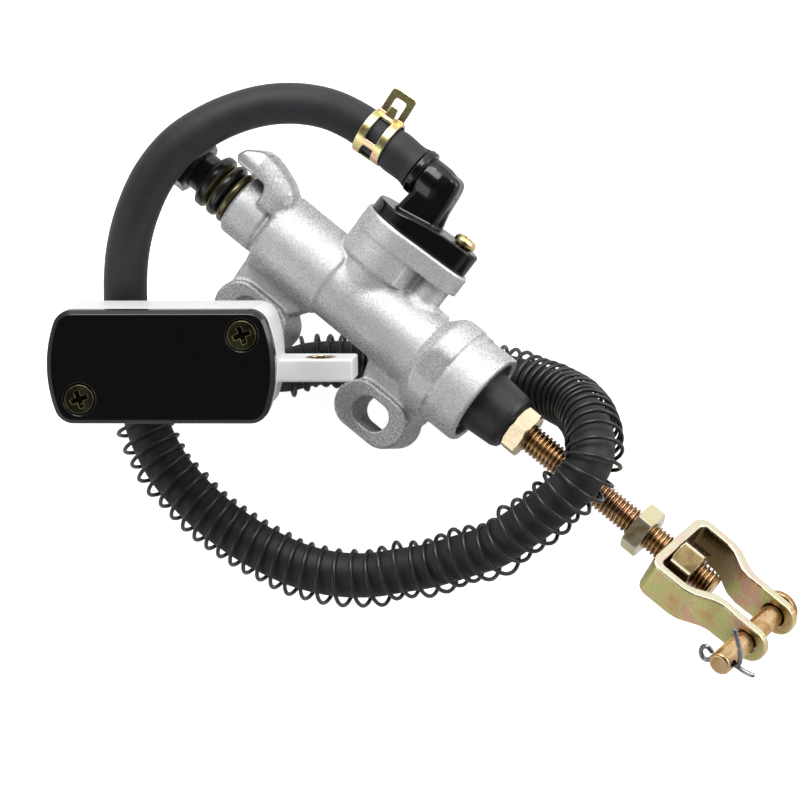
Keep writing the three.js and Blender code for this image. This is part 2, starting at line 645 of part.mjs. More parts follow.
// the same, with the point's z given in place of its distance out
const tiltedAtZ = ([across, along, z]) => tilted([across, along, (z - ACROSS.z * across) / OUT.z]);

const HOSE_Z = -18.9;          // centre line where the hose and its coil lie flat
const SPIGOT_RUN = [-6.0, -10, -14, -18.6];   // x, along the elbow's spigot
const FREE_RUN = [             // [across, along, out]
  [-1.0, 37.2, 1.2], [-5.8, 39.2, 2.0], [-11.6, 40.2, 2.8], [-17.9, 40.0, 3.4],
  [-24.2, 38.5, 3.7], [-30.5, 35.8, 3.7], [-36.8, 31.6, 3.6], [-42.1, 25.3, 2.4],
  [-45.7, 17.9, 0.2], [-47.8, 10.5, -3.2], [-48.6, 3.2, -6.6], [-48.4, -5.0, -9.3],
  [-47.2, -14.0, -10.8], [-45.0, -23.0, -11.2], [-43.8, -28.2, -11.0], [-40.0, -35.8, -9.6],
  [-35.8, -41.0, -8.2], [-30.5, -46.1, -6.6], [-24.2, -50.7, -5.0], [-17.9, -54.3, -3.5],
  [-11.6, -57.0, -2.0], [-4.2, -58.7, -0.2], [3.2, -58.9, 1.8], [9.5, -57.9, 4.0],
  [15.8, -56.8, 6.2], [22.1, -54.9, 9.4], [29.5, -52.4, 13.4], [33.7, -49.5, 16.4],
  [38.9, -45.7, 19.8], [43.2, -41.9, 22.2], [46.6, -38.8, 23.3], [48.9, -35.2, 23.2],
  [49.5, -31.6, 21.2], [48.7, -27.2, 14.8], [46.4, -23.6, 6.0], [42.6, -21.0, -1.6],
  [37.9, -19.0, -7.0], [33.0, -17.4, -10.3],
];
const FLAT_RUN = [             // [across, along, z]
  [27.0, -16.4, -18.6], [20.0, -16.0, HOSE_Z], [9.5, -14.7, HOSE_Z], [2.5, -14.3, HOSE_Z],
  [-4.0, -14.1, HOSE_Z], [-9.5, -14.4, HOSE_Z + 0.3], [-14.6, -15.6, HOSE_Z + 1.6],
];
const NIPPLE_RUN = [15.5, 10.5, 5.5, 0.4];    // distance from the nipple's root

const nippleDir = RES_Z.clone().negate();
const nippleRoot = vec(NIPPLE_X, NIPPLE_Y, -RES_D - 1.7).applyMatrix4(RES_MATRIX);
const alongNipple = (distance) => nippleRoot.clone().addScaledVector(nippleDir, distance);

const OPEN_RUN = [
  ...SPIGOT_RUN.map((x) => vec(x, SPIGOT_Y, 0)),
  ...FREE_RUN.map(tilted),
  ...FLAT_RUN.map(tiltedAtZ),
];
const HOSE_DIVISIONS = 2000;
const hosePath = smooth([...OPEN_RUN, ...NIPPLE_RUN.map(alongNipple)]);
hosePath.arcLengthDivisions = HOSE_DIVISIONS;

// share of the hose's length at a point number, which may be fractional
function hoseShare(pointNumber) {
  const lengths = hosePath.getLengths(HOSE_DIVISIONS);
  const i = Math.round(pointNumber / (hosePath.points.length - 1) * HOSE_DIVISIONS);
  return lengths[i] / lengths[HOSE_DIVISIONS];
}

// ---- guard coil round the hose ----------------------------------------------
const COIL = {
  r: 5.95,               // wire centre line
  wireR: 0.6,
  turns: 77,
  start: hoseShare(16.6),
  end: hoseShare(OPEN_RUN.length - 0.8),   // short of the nipple
  crowd: 0.45,           // the coil is wound tighter by this share in the tight bend,
  crowdFrom: 0.55,       // between these shares of its length,
  crowdTo: 0.80,
  crowdBlend: 0.05,      // with ends eased over this share
  sag: 0.45,             // offset to the outside of each bend
  sagBend: 0.03,         // curvature (1/mm) from which the offset is full
  bendStep: 3,           // distance either side over which curvature is taken
  frames: 900,
};

class GuardCurve extends THREE.Curve {
  arcLengthDivisions = 6000;
  frames = hosePath.computeFrenetFrames(COIL.frames, false);
  step = COIL.bendStep / hosePath.getLength();

  // share of the turns wound by t
  phase(t) {
    const ramp = (x) => COIL.crowdBlend * Math.log(1 + Math.exp(x / COIL.crowdBlend));
    const wound = (x) => x + COIL.crowd * (ramp(x - COIL.crowdFrom) - ramp(x - COIL.crowdTo));
    return (wound(t) - wound(0)) / (wound(1) - wound(0));
  }

  getPoint(t) {
    const u = COIL.start + (COIL.end - COIL.start) * t;
    const place = Math.min(u * COIL.frames, COIL.frames - 1e-6);
    const i = Math.floor(place);
    const between = (list) => list[i].clone().lerp(list[i + 1], place - i).normalize();
    const angle = 2 * Math.PI * COIL.turns * this.phase(t);

    const here = hosePath.getPointAt(u);
    const before = hosePath.getPointAt(Math.max(u - this.step, 0));
    const after = hosePath.getPointAt(Math.min(u + this.step, 1));
    const bend = before.add(after).addScaledVector(here, -2).divideScalar(COIL.bendStep ** 2);
    const curvature = bend.length();
    const sag = COIL.sag * Math.min(curvature / COIL.sagBend, 1);
    return here.addScaledVector(bend, -sag / Math.max(curvature, 1e-6))
      .addScaledVector(between(this.frames.normals), COIL.r * Math.cos(angle))
      .addScaledVector(between(this.frames.binormals), COIL.r * Math.sin(angle));
  }
}

// ---- spring band clamps: band about local X, loop ear towards local +Y ------
function bandClamp(innerR) {
  const halfW = 3.3;
  const band = turnX(ring(-halfW, halfW, innerR, innerR + 0.6), 20);
  const window = box([-1.45, 1.45], [-1.2, innerR + 2], [2.5, innerR + 3]);
  const taperedWindow = prismZ(polygon([
    [-1.9, -5.2], [-1.0, -2.6], [1.4, -2.6], [1.4, -5.2],
  ]), 0.5, innerR + 2);
  // the loop ear and the tongue beside it
  const loop = cut(
    box([-halfW + 0.3, halfW - 0.3], [innerR - 0.1, innerR + 6.4], [-0.3, 0.3]),
    box([-1.4, 1.4], [innerR + 0.4, innerR + 4.6], [-2, 2]),
  );
  const tongue = prismZ(polygon([
    [-1.2, innerR - 0.1], [1.2, innerR - 0.1], [0.9, innerR + 2.7], [-0.9, innerR + 2.7],
  ]), 1.5, 2.1);
  return join(cut(band, window, taperedWindow), loop, tongue);
}

function addClamp(name, matrix, innerR) {
  const group = new THREE.Group();
  group.applyMatrix4(matrix);
  root.add(group);
  add(name, 'zinc', bandClamp(innerR), group);
}

const ELBOW_CLAMP_X = -16.6;      // place along the spigot
const ELBOW_CLAMP_TILT = 4;       // degrees about Z
const NIPPLE_CLAMP_AT = 7.6;      // distance from the nipple's root

function nippleClampMatrix() {
  const ear = RES_X.clone().multiplyScalar(-0.5).addScaledVector(RES_Y, -0.866).normalize();
  const side = vec().crossVectors(nippleDir, ear).normalize();
  return new THREE.Matrix4().makeBasis(nippleDir, ear, side)
    .setPosition(alongNipple(NIPPLE_CLAMP_AT));
}

// ---- assembly ---------------------------------------------------------------
add('cylinder_body', 'cast', cylinderBody());
add('banjo_bolt', 'wire', banjoBolt());
WASHER_SPANS.forEach((span, i) => add(`sealing_washer_${i + 1}`, 'bronze', sealingWasher(span)));

add('inlet_elbow', 'black', inletElbow());
add('inlet_o_ring', 'gasket', inletORing());
add('elbow_screw', 'zinc', elbowScrew());

add('piston', 'anodised', piston());
add('primary_cup', 'gasket', primaryCup());
add('secondary_seal', 'gasket', secondarySeal());
add('return_spring', 'steel', sweep(new SpringCurve(), SPRING.wireR, 4, 68));
add('stop_washer', 'steel', turnX(ring(24.4, 25.4, 3.9, 6.4), 24));
add('retaining_ring', 'steel', retainingRing());
add('dust_boot', 'rubber', dustBoot());

add('push_rod', 'gold', pushRod());
add('lock_nut', 'bright', hexNut(LOCK_NUT_HEX, 5, 77.2, 81.0));
add('clevis', 'zinc', clevis(), clevisGroup);
add('clevis_nut', 'bright', hexNut(CLEVIS_NUT_HEX, 30, 88.1, 93.6), clevisGroup);
add('clevis_pin', 'gold', clevisPin(), clevisGroup);
add('cotter_pin', 'steel', splitPin(), clevisGroup);

add('reservoir_body', 'milky', reservoirBody(), reservoirGroup);
add('mount_bushing', 'brass', mountBushing(), reservoirGroup);
add('diaphragm', 'gasket', diaphragm(), reservoirGroup);
add('reservoir_cap', 'black', reservoirCap(), reservoirGroup);
atCapScrews(capScrew()).forEach((screw, i) => {
  add(`cap_screw_${i + 1}`, 'olive', screw, reservoirGroup);
});

add('fluid_hose', 'rubber', sweep(hosePath, HOSE_R, 8, 72, HOSE_BORE_R));
add('hose_guard_coil', 'wire', sweep(new GuardCurve(), COIL.wireR, 3, COIL.turns * 8));
addClamp('elbow_hose_clamp', new THREE.Matrix4().makeRotationZ(ELBOW_CLAMP_TILT * DEG)
  .setPosition(ELBOW_CLAMP_X, SPIGOT_Y, 0), HOSE_R + 0.42);
addClamp('reservoir_hose_clamp', nippleClampMatrix(), HOSE_R + 0.35);

root.position.set(...DATUM.map((offset) => -offset));

export default root;
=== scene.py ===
# Brake master cylinder: detailed surfaces and finishes standing on the CAD frame.
# The bore runs along X, outlet port towards -X and push rod towards +X. The inlet boss points
# to +Y, the two slotted lugs hang towards -Y with their faces to +Z, and the floor is below at -Z.
# Shapes are in mm from a point on the bore axis; make_mesh() moves them by ORIGIN into metres.
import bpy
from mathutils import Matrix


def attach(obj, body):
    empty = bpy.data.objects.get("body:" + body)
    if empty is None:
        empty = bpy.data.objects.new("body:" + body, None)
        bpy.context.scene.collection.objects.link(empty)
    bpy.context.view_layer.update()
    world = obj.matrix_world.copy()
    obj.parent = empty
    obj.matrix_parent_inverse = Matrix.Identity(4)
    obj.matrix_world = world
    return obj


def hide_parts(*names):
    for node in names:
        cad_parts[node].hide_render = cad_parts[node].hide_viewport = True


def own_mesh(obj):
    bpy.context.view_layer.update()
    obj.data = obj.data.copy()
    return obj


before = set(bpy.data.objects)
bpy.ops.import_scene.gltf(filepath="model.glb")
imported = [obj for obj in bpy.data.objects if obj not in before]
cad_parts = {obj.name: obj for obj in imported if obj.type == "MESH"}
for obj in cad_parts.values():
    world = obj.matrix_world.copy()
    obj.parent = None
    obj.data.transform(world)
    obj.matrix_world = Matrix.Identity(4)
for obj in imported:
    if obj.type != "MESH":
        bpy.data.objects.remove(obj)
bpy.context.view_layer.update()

from concurrent.futures import ThreadPoolExecutor
from math import acos, atan2, cos, pi, sin, sqrt, tan

import bmesh
import bpy
import numpy as np
from mathutils import Matrix, Vector
from numpy import float32 as f32, hypot, maximum, minimum

WORKERS = ThreadPoolExecutor(4)

# ---------------------------------------------------------------- driving sizes (mm)
MM = 0.001
DEG = pi / 180
ORIGIN = np.array([8.8, 17.2, 11.5])  # the bore point in the frame

BORE_R, PORT_X, MOUTH_X = 5.55, -32.0, 35.7
BOSS_R, BOSS_ROOT_R, BOSS_TOP = 9.1, 8.15, 17.5
EAR_X, SCREW_X = 12.3, 11.9
LUG_XS, LUG_Y, LUG_BACK, LUG_FRONT = (-15.0, 18.5), -17.2, -11.5, 2.0
LUG_LENGTH, LUG_WIDTH, SLOT_LENGTH, SLOT_WIDTH = 17.4, 10.6, 8.4, 6.1
ROD_R, BALL_X, BALL_R = 3.0, 20.4, 3.4
PIN_X, PIN_R, SPLIT_PIN_Y, SPLIT_PIN_TURN = 111.0, 2.5, -14.9, 158
SPIGOT_Y, HOSE_R = 29.15, 4.6

# Reservoir, in its own frame: Z = 0 on top of the lid
BOWL_LENGTH, BOWL_WIDTH, BOWL_DEPTH, BOWL_RIM_Z, LID_HEIGHT = 47.6, 23.4, 22.6, -5.0, 3.4
NIPPLE_X, NIPPLE_Y, NIPPLE_TIP = 14.0, -6.3, -34.5
LID_SCREWS = ((-17.2, -6.7), (17.2, 6.7))
BUSH_X, BUSH_Z = 31.6, -15.0

# Oblique axes shared by the hose course and the camera
VIEW_RIGHT = np.array([0.7596, 0.6030, -0.2432])
HOSE_ACROSS = np.array([-0.6217, 0.7832, 0])
VIEW_BACK = np.array([0.1908, 0.1512, 0.970])


# ---------------------------------------------------------------- placements
def unit(vector):
    vector = np.array(vector, float)
    return vector / np.linalg.norm(vector)


def shift(x, y, z):
    place = np.eye(4)
    place[:3, 3] = (x, y, z)
    return place


def turn(first, second, degrees):
    """A rotation taking axis number first towards axis number second."""
    place = np.eye(4)
    place[first, first] = place[second, second] = cos(degrees * DEG)
    place[second, first] = sin(degrees * DEG)
    place[first, second] = -place[second, first]
    return place


def axes_at(origin, x, y, z):
    place = np.eye(4)
    place[:3, 0], place[:3, 1], place[:3, 2], place[:3, 3] = x, y, z, origin
    return place


ALONG_Y = np.array([[0, 0, 1, 0], [1, 0, 0, 0], [0, 1, 0, 0], [0, 0, 0, 1.0]])
CLEVIS = turn(1, 2, -55)  # +Y is the way the pin's head points

BOWL_X, BOWL_UP = unit([0.7772, 0.6169, -0.1235]), unit([0.1869, -0.0393, 0.9797])
BOWL_Y = unit(np.cross(BOWL_UP, BOWL_X))
BOWL_ORIGIN = np.array([-16.89, -33.0, 31.15])
BOWL = axes_at(BOWL_ORIGIN, BOWL_X, BOWL_Y, BOWL_UP)
NIPPLE_DIR = -BOWL[:3, 2]
NIPPLE_ROOT = BOWL[:3, :3] @ np.array([NIPPLE_X, NIPPLE_Y, -BOWL_DEPTH - 1.7]) + BOWL_ORIGIN


# ---------------------------------------------------------------- solids as distance fields
# A solid is a function of float32 arrays x, y, z giving a distance, negative inside.
# Outlines give float64, so constants that meet one are cast with f32.
def polygon_distance(u, v, points, turned):
    """Signed distance to a closed polygon; when turned, edges on v = 0 are axis, not surface."""
    nearest = np.full(u.shape, 1e9, f32)
    inside = np.zeros(u.shape, bool)
    for (start_u, start_v), (end_u, end_v) in zip(points, points[1:] + points[:1]):
        edge_u, edge_v = end_u - start_u, end_v - start_v
        square = edge_u * edge_u + edge_v * edge_v
        if square < 1e-12:
            continue
        from_u, from_v = u - start_u, v - start_v
        if not (turned and abs(start_v) < 1e-9 and abs(end_v) < 1e-9):
            t = np.clip((from_u * edge_u + from_v * edge_v) / square, 0, 1)
            off_u, off_v = from_u - edge_u * t, from_v - edge_v * t
            nearest = minimum(nearest, off_u * off_u + off_v * off_v)
        if edge_v != 0:
            crosses = (start_v <= v) != (end_v <= v)
            inside ^= crosses & (u < start_u + from_v * (edge_u / edge_v))
    nearest = np.sqrt(nearest)
    return np.where(inside, -nearest, nearest).astype(f32)


def blurred(table, sigma):
    reach = int(3 * sigma + 1)
    weights = np.exp(-0.5 * (np.arange(-reach, reach + 1) / sigma) ** 2)
    weights /= weights.sum()
    for axis in (0, 1):
        count = table.shape[axis]
        pad = [(reach, reach) if i == axis else (0, 0) for i in (0, 1)]
        padded = np.pad(table, pad, mode="edge")
        total = np.zeros_like(table)
        for i, weight in enumerate(weights):
            part = padded[i : i + count] if axis == 0 else padded[:, i : i + count]
            total += f32(weight) * part
        table = total
    return table


class Outline:
    """A 2-D outline as a distance table. blur rounds its corners."""

    def __init__(self, points, step=0.06, margin=1.5, blur=0.0, turned=False):
        corners = np.array(points, float)
        low_u, low_v = corners.min(0) - margin
        high_u, high_v = corners.max(0) + margin + step
        u = np.arange(low_u, high_u, step)
        v = np.arange(0 if turned else low_v, high_v, step)
        table = polygon_distance(*np.meshgrid(u, v, indexing="ij"), points, turned)
        if blur and turned:
            mirrored = np.concatenate([table[:, :0:-1], table], 1)
            table = blurred(mirrored, blur / step)[:, len(v) - 1 :]
        elif blur:
            table = blurred(table, blur / step)
        self.start_u, self.start_v = f32(u[0]), f32(v[0])
        self.step, self.margin = f32(step), f32(margin)
        self.per_mm = f32(1 / step)
        self.count_u, self.count_v = table.shape
        self.table = table.ravel()

    def __call__(self, u, v):
        u = (u - self.start_u) * self.per_mm
        v = (v - self.start_v) * self.per_mm
        held_u = np.clip(u, 0, self.count_u - 1.001)
        held_v = np.clip(v, 0, self.count_v - 1.001)
        outside = hypot(u - held_u, v - held_v) * self.step
        i = held_u.astype(np.int32)
        j = held_v.astype(np.int32)
        a = held_u - i
        b = held_v - j
        k = i * self.count_v + j
        table, row = self.table, self.count_v
        value = (table[k] * (1 - b) + table[k + 1] * b) * (1 - a) + (
            table[k + row] * (1 - b) + table[k + row + 1] * b
        ) * a
        return np.where(outside > 0, maximum(value, outside + self.margin), value)


def turning(points, step=0.06, blur=0.0):
    """The outline of a turned solid; points are (along, radius)."""
    return Outline(points, step, blur=blur, turned=True)


def join(a, b, fillet=0.0):
    if not fillet:
        return minimum(a, b)
    r = f32(fillet)
    return maximum(r, minimum(a, b)) - hypot(maximum(r - a, 0), maximum(r - b, 0))


def both(a, b, edge=0.0):
    """Keep what both hold, with a rounded edge."""
    if not edge:
        return maximum(a, b)
    r = f32(edge)
    return minimum(-r, maximum(a, b)) + hypot(maximum(r + a, 0), maximum(r + b, 0))


def cut(a, b, edge=0.0):
    """Cut b out of a, with a rounded edge."""
    return both(a, -b, edge)


def slab(c, low, high):
    return np.abs(c - (low + high) / 2) - (high - low) / 2


def circle(a, b, radius, a0=0.0, b0=0.0):
    return hypot(a - a0, b - b0) - radius


def box(x, y, z, low, high, r):
    dx, dy, dz = (slab(c, low[i], high[i]) + r for i, c in enumerate((x, y, z)))
    outer = np.sqrt(maximum(dx, 0) ** 2 + maximum(dy, 0) ** 2 + maximum(dz, 0) ** 2)
    return outer + minimum(maximum(dx, maximum(dy, dz)), 0) - r


def stadium(a, b, length, width):
    """A round-ended slot along a."""
    return hypot(maximum(np.abs(a) - (length - width) / 2, 0), b) - width / 2


def cross(u, w, reach, half_width):
    """A cross of two bars."""
    u, w = np.abs(u), np.abs(w)
    return minimum(
        maximum(u - reach, w - half_width),
        maximum(w - reach, u - half_width),
    )


def broken_line(x, y, z, points):
    """Distance to a line through the points."""
    nearest = None
    for start, end in zip(points[:-1], points[1:]):
        edge = [f32(end[i] - start[i]) for i in range(3)]
        square = f32(sum(float(c) ** 2 for c in edge)) + f32(1e-9)
        gap = [c - f32(start[i]) for i, c in enumerate((x, y, z))]
        t = (gap[0] * edge[0] + gap[1] * edge[1] + gap[2] * edge[2]) / square
        t = np.clip(t, 0, 1)
        d = sum((gap[i] - edge[i] * t) ** 2 for i in range(3))
        nearest = d if nearest is None else minimum(nearest, d)
    return np.sqrt(nearest)


def spun(a, b, degrees):
    """Coordinates in a frame turned by that angle."""
    c, s = cos(degrees * DEG), sin(degrees * DEG)
    return a * c + b * s, b * c - a * s


def taper(value, stations, sizes):
    return np.interp(value, stations, sizes).astype(f32)


def evaluate(solid, points, chunk=60000):
    """The solid's distance at each row of points, spread over the cores."""
    out = np.empty(len(points), f32)

    def work(i):
        part = points[i : i + chunk]
        out[i : i + chunk] = solid(part[:, 0], part[:, 1], part[:, 2])

    list(WORKERS.map(work, range(0, len(points), chunk)))
    return out


def sample_grid(solid, low, high, step, side=8):
    """Distances on a grid made of cubic blocks; only blocks near the surface are filled in."""
    blocks = np.ceil((high - low) / (step * side)).astype(int)
    cells = np.indices(blocks).reshape(3, -1).T
    centres = (low + (cells * side + (side - 1) / 2) * step).astype(f32)
    at_centre = evaluate(solid, centres)
    values = np.empty((len(cells), side, side, side), f32)
    values[:] = at_centre[:, None, None, None]
    near = np.flatnonzero(np.abs(at_centre) < step * (side / 2 * 1.7321 + 1.0))
    line = (np.arange(side) - (side - 1) / 2) * step
    offsets = np.stack(np.meshgrid(line, line, line, indexing="ij"), -1)
    offsets = offsets.reshape(-1, 3).astype(f32)
    for first in range(0, len(near), 2000):
        ids = near[first : first + 2000]
        points = (centres[ids][:, None, :] + offsets[None]).reshape(-1, 3)
        values[ids] = evaluate(solid, points).reshape(-1, side, side, side)
    values = values.reshape(*blocks, side, side, side).transpose(0, 3, 1, 4, 2, 5)
    values = values.reshape(blocks * side)
    values[values == 0] = 1e-6
    return values


def pull_to_surface(solid, points, step):
    """Two Newton steps along the gradient, each held to a part of the grid step."""
    reach = f32(0.25 * step)
    for _ in range(2):
        value = evaluate(solid, points)
        slope = np.empty((len(points), 3), f32)
        for i in range(3):
            ahead, behind = points.copy(), points.copy()
            ahead[:, i] += reach
            behind[:, i] -= reach
            slope[:, i] = (evaluate(solid, ahead) - evaluate(solid, behind)) / (2 * reach)
        square = maximum((slope * slope).sum(1), 0.2)
        move = -(value / square)[:, None] * slope
        length = np.linalg.norm(move, axis=1)
        move *= minimum(1, 0.4 * step / maximum(length, 1e-9))[:, None]
        points += move
    return points


def field_mesh(solid, low, high, step):
    """The solid's surface as quads, by surface nets."""
    low = np.array(low, float) - 2.13 * step
    high = np.array(high, float) + 2.13 * step
    values = sample_grid(solid, low, high, step)
    inside = values < 0
    size = values.shape
    corners = [(a, b, c) for a in (0, 1) for b in (0, 1) for c in (0, 1)]
    count = np.zeros(tuple(n - 1 for n in size), np.uint8)
    for a, b, c in corners:
        count += inside[a : size[0] - 1 + a, b : size[1] - 1 + b, c : size[2] - 1 + c]
    cells = np.argwhere((count > 0) & (count < 8))
    index = np.full(count.shape, -1, np.int32)
    index[cells[:, 0], cells[:, 1], cells[:, 2]] = np.arange(len(cells))

    # a vertex in each crossed cell, at the mean of its edge crossings
    total = np.zeros((len(cells), 3))
    crossings = np.zeros(len(cells))
    at = {k: values[tuple((cells + np.array(k)).T)] for k in corners}
    for start in corners:
        for axis in range(3):
            if start[axis]:
                continue
            end = tuple(1 if i == axis else start[i] for i in range(3))
            first, second = at[start], at[end]
            crossed = (first < 0) != (second < 0)
            point = np.tile(np.array(start, float), (crossed.sum(), 1))
            point[:, axis] = first[crossed] / (first[crossed] - second[crossed])
            total[crossed] += point
            crossings[crossed] += 1
    points = low + step * (cells + total / crossings[:, None])

    # a quad round each crossed grid edge
    faces = []
    for axis in range(3):
        first_part = [slice(1, n - 1) for n in size]
        second_part = list(first_part)
        first_part[axis] = slice(0, size[axis] - 1)
        second_part[axis] = slice(1, size[axis])
        first, second = inside[tuple(first_part)], inside[tuple(second_part)]
        edges = np.argwhere(first != second)
        outward = first[edges[:, 0], edges[:, 1], edges[:, 2]]
        home = edges + np.array([0 if i == axis else 1 for i in range(3)])
        quads = []
        for d1, d2 in ((-1, -1), (0, -1), (0, 0), (-1, 0)):
            cell = home.copy()
            cell[:, (axis + 1) % 3] += d1
            cell[:, (axis + 2) % 3] += d2
            quads.append(index[cell[:, 0], cell[:, 1], cell[:, 2]])
        quads = np.stack(quads, 1)
        quads[~outward] = quads[~outward][:, ::-1]
        faces.append(quads)
    points = pull_to_surface(solid, points.astype(f32), step)
    return points.astype(float), np.concatenate(faces)


# ---------------------------------------------------------------- meshes
def make_mesh(name, points, faces, place=None, sharp=None):
    """A smooth mesh object from points in mm; sharp is an angle in degrees."""
    points = np.asarray(points, float)
    if place is not None:
        points = points @ place[:3, :3].T + place[:3, 3]
    points = (points + ORIGIN) * MM
    mesh = bpy.data.meshes.new(name)
    if isinstance(faces, np.ndarray):
        mesh.vertices.add(len(points))
        mesh.vertices.foreach_set("co", points.astype(f32).ravel())
        mesh.loops.add(faces.size)
        mesh.loops.foreach_set("vertex_index", faces.astype(np.int32).ravel())
        mesh.polygons.add(len(faces))
        starts = np.arange(0, faces.size, faces.shape[1], dtype=np.int32)
        mesh.polygons.foreach_set("loop_start", starts)
        mesh.update(calc_edges=True)
        mesh.validate()
    else:
        mesh.from_pydata(points.tolist(), [], faces)
        mesh.update()
    mesh.polygons.foreach_set("use_smooth", np.full(len(mesh.polygons), True))
    if sharp is not None:
        mesh.set_sharp_from_angle(angle=sharp * DEG)
    ob = bpy.data.objects.new(name, mesh)
    bpy.context.scene.collection.objects.link(ob)
    return ob


def field(name, solid, low, high, step, place=None, attributes=None):
    """A mesh of a solid; attributes are functions of x, y, z stored on its points."""
    points, quads = field_mesh(solid, low, high, step)
    ob = make_mesh(name, points, quads, place)
    for key, function in (attributes or {}).items():
        values = function(*points.T.astype(f32))
        layer = ob.data.attributes.new(key, "FLOAT", "POINT")
        layer.data.foreach_set("value", np.asarray(values, f32))
    return ob


def face_outwards(ob):
    work = bmesh.new()
    work.from_mesh(ob.data)
    if work.calc_volume(signed=True) < 0:
        bmesh.ops.reverse_faces(work, faces=work.faces)
        work.to_mesh(ob.data)
        ob.data.update()
    work.free()
    return ob


def ringed(name, rings, segments=96, phase=0.0, closed=False, place=None, sharp=38):
    """Rings (along, radius or function of angle) about X. Radius 0 at an end makes a pole."""
    angles = np.arange(segments) * 2 * pi / segments + phase * DEG
    points, rows = [], []
    for along, radius in rings:
        if not callable(radius) and radius < 1e-6:
            rows.append([len(points)])
            points.append((along, 0.0, 0.0))
            continue
        r = radius(angles) if callable(radius) else np.full(segments, float(radius))
        rows.append(range(len(points), len(points) + segments))
        points += zip(np.full(segments, along), r * np.cos(angles), r * np.sin(angles))
    faces = []
    for one, two in zip(rows, rows[1:] + (rows[:1] if closed else [])):
        for j in range(segments):
            k = (j + 1) % segments
            if len(one) == 1:
                faces.append((one[0], two[k], two[j]))
            elif len(two) == 1:
                faces.append((one[j], one[k], two[0]))
            else:
                faces.append((one[j], one[k], two[k], two[j]))
    return face_outwards(make_mesh(name, points, faces, place, sharp=sharp))


def rounded(profile, steps):
    """Profile points (along, radius[, corner radius]), with each rounded corner as a curve."""
    out = []
    for i, (along, radius, *corner) in enumerate(profile):
        if not corner:
            out.append((along, radius))
            continue
        before, here, after = (
            np.array(profile[(i + k) % len(profile)][:2], float) for k in (-1, 0, 1)
        )
        back, ahead = before - here, after - here
        back_length, ahead_length = np.linalg.norm(back), np.linalg.norm(ahead)
        back, ahead = back / back_length, ahead / ahead_length
        angle = acos(max(-1, min(1, float(back @ ahead))))
        if angle > pi - 0.05:
            out.append((along, radius))
            continue
        trim = min(corner[0] / tan(angle / 2), 0.48 * back_length, 0.48 * ahead_length)
        start, end = here + back * trim, here + ahead * trim
        for k in range(steps + 1):
            q = k / steps
            out.append(tuple((1 - q) ** 2 * start + 2 * q * (1 - q) * here + q * q * end))
    return out


def lathe(name, profile, closed=False, place=None, segments=96, corner_steps=4):
    rings = rounded(profile, corner_steps)
    return ringed(name, rings, segments, closed=closed, place=place, sharp=42)


def hex_rings(x0, x1, corners, degrees, chamfer):
    """The outside of a hexagon of that width across corners, chamfered at both ends."""
    flat = corners / 2 * cos(30 * DEG)

    def radius(limit):
        def at(angle):
            return minimum(flat / np.cos((angle - degrees * DEG) % (pi / 3) - pi / 6), limit)

        return at

    rises = [chamfer * k / 4 for k in range(5)]
    limits = [radius(corners / 2 - chamfer + rise) for rise in rises]
    rings = [(x0 + rise * 0.55, limit) for rise, limit in zip(rises, limits)]
    return rings + [(x1 - rise * 0.55, limit) for rise, limit in zip(rises[::-1], limits[::-1])]


def transport(line):
    """Tangents and a twist-free normal pair along a line of points."""
    tangents = np.gradient(line, axis=0)
    tangents /= np.linalg.norm(tangents, axis=1)[:, None]
    first = tangents[0]
    normal = np.cross(first, np.eye(3)[np.argmin(np.abs(first))])
    normal /= np.linalg.norm(normal)
    normals = [normal]
    for tangent in tangents[1:]:
        normal = normal - tangent * (normal @ tangent)
        normal /= np.linalg.norm(normal)
        normals.append(normal)
    normals = np.array(normals)
    return tangents, normals, np.cross(tangents, normals)


def tube(name, line, radius, sides, inner=None):
    """A round wire with pointed ends, or a hollow tube when inner is given."""
    tangents, normals, across = transport(line)
    n = len(line)
    angles = np.arange(sides) * 2 * pi / sides
    c, s = np.cos(angles)[None, :, None], np.sin(angles)[None, :, None]

    def skin(radii):
        spokes = normals[:, None, :] * c + across[:, None, :] * s
        return (line[:, None, :] + radii[:, None, None] * spokes).reshape(-1, 3)

    radii = np.broadcast_to(np.asarray(radius, float), (n,))
    points = [skin(radii)]
    j = np.arange(sides)
    k = (j + 1) % sides
    last = (n - 1) * sides
    quads = []
    for o in range(0, last, sides):
        quads.append(np.stack([o + j, o + k, o + sides + k, o + sides + j], 1))
    if inner is None:
        points += [
            line[:1] - tangents[:1] * radii[0] * 0.35,
            line[-1:] + tangents[-1:] * radii[-1] * 0.35,
        ]
        faces = [tuple(quad) for quad in np.concatenate(quads)]
        tip = n * sides
        faces += [(tip, int(b), int(a)) for a, b in zip(j, k)]
        faces += [(tip + 1, int(last + a), int(last + b)) for a, b in zip(j, k)]
        return face_outwards(make_mesh(name, np.concatenate(points), faces, sharp=60))
    points.append(skin(np.full(n, float(inner))))
    hole = n * sides
    for o in range(hole, hole + last, sides):
        quads.append(np.stack([o + k, o + j, o + sides + j, o + sides + k], 1))
    quads.append(np.stack([j, hole + j, hole + k, k], 1))
    quads.append(np.stack([last + k, hole + last + k, hole + last + j, last + j], 1))
    ob = make_mesh(name, np.concatenate(points), np.concatenate(quads), sharp=50)
    return face_outwards(ob)


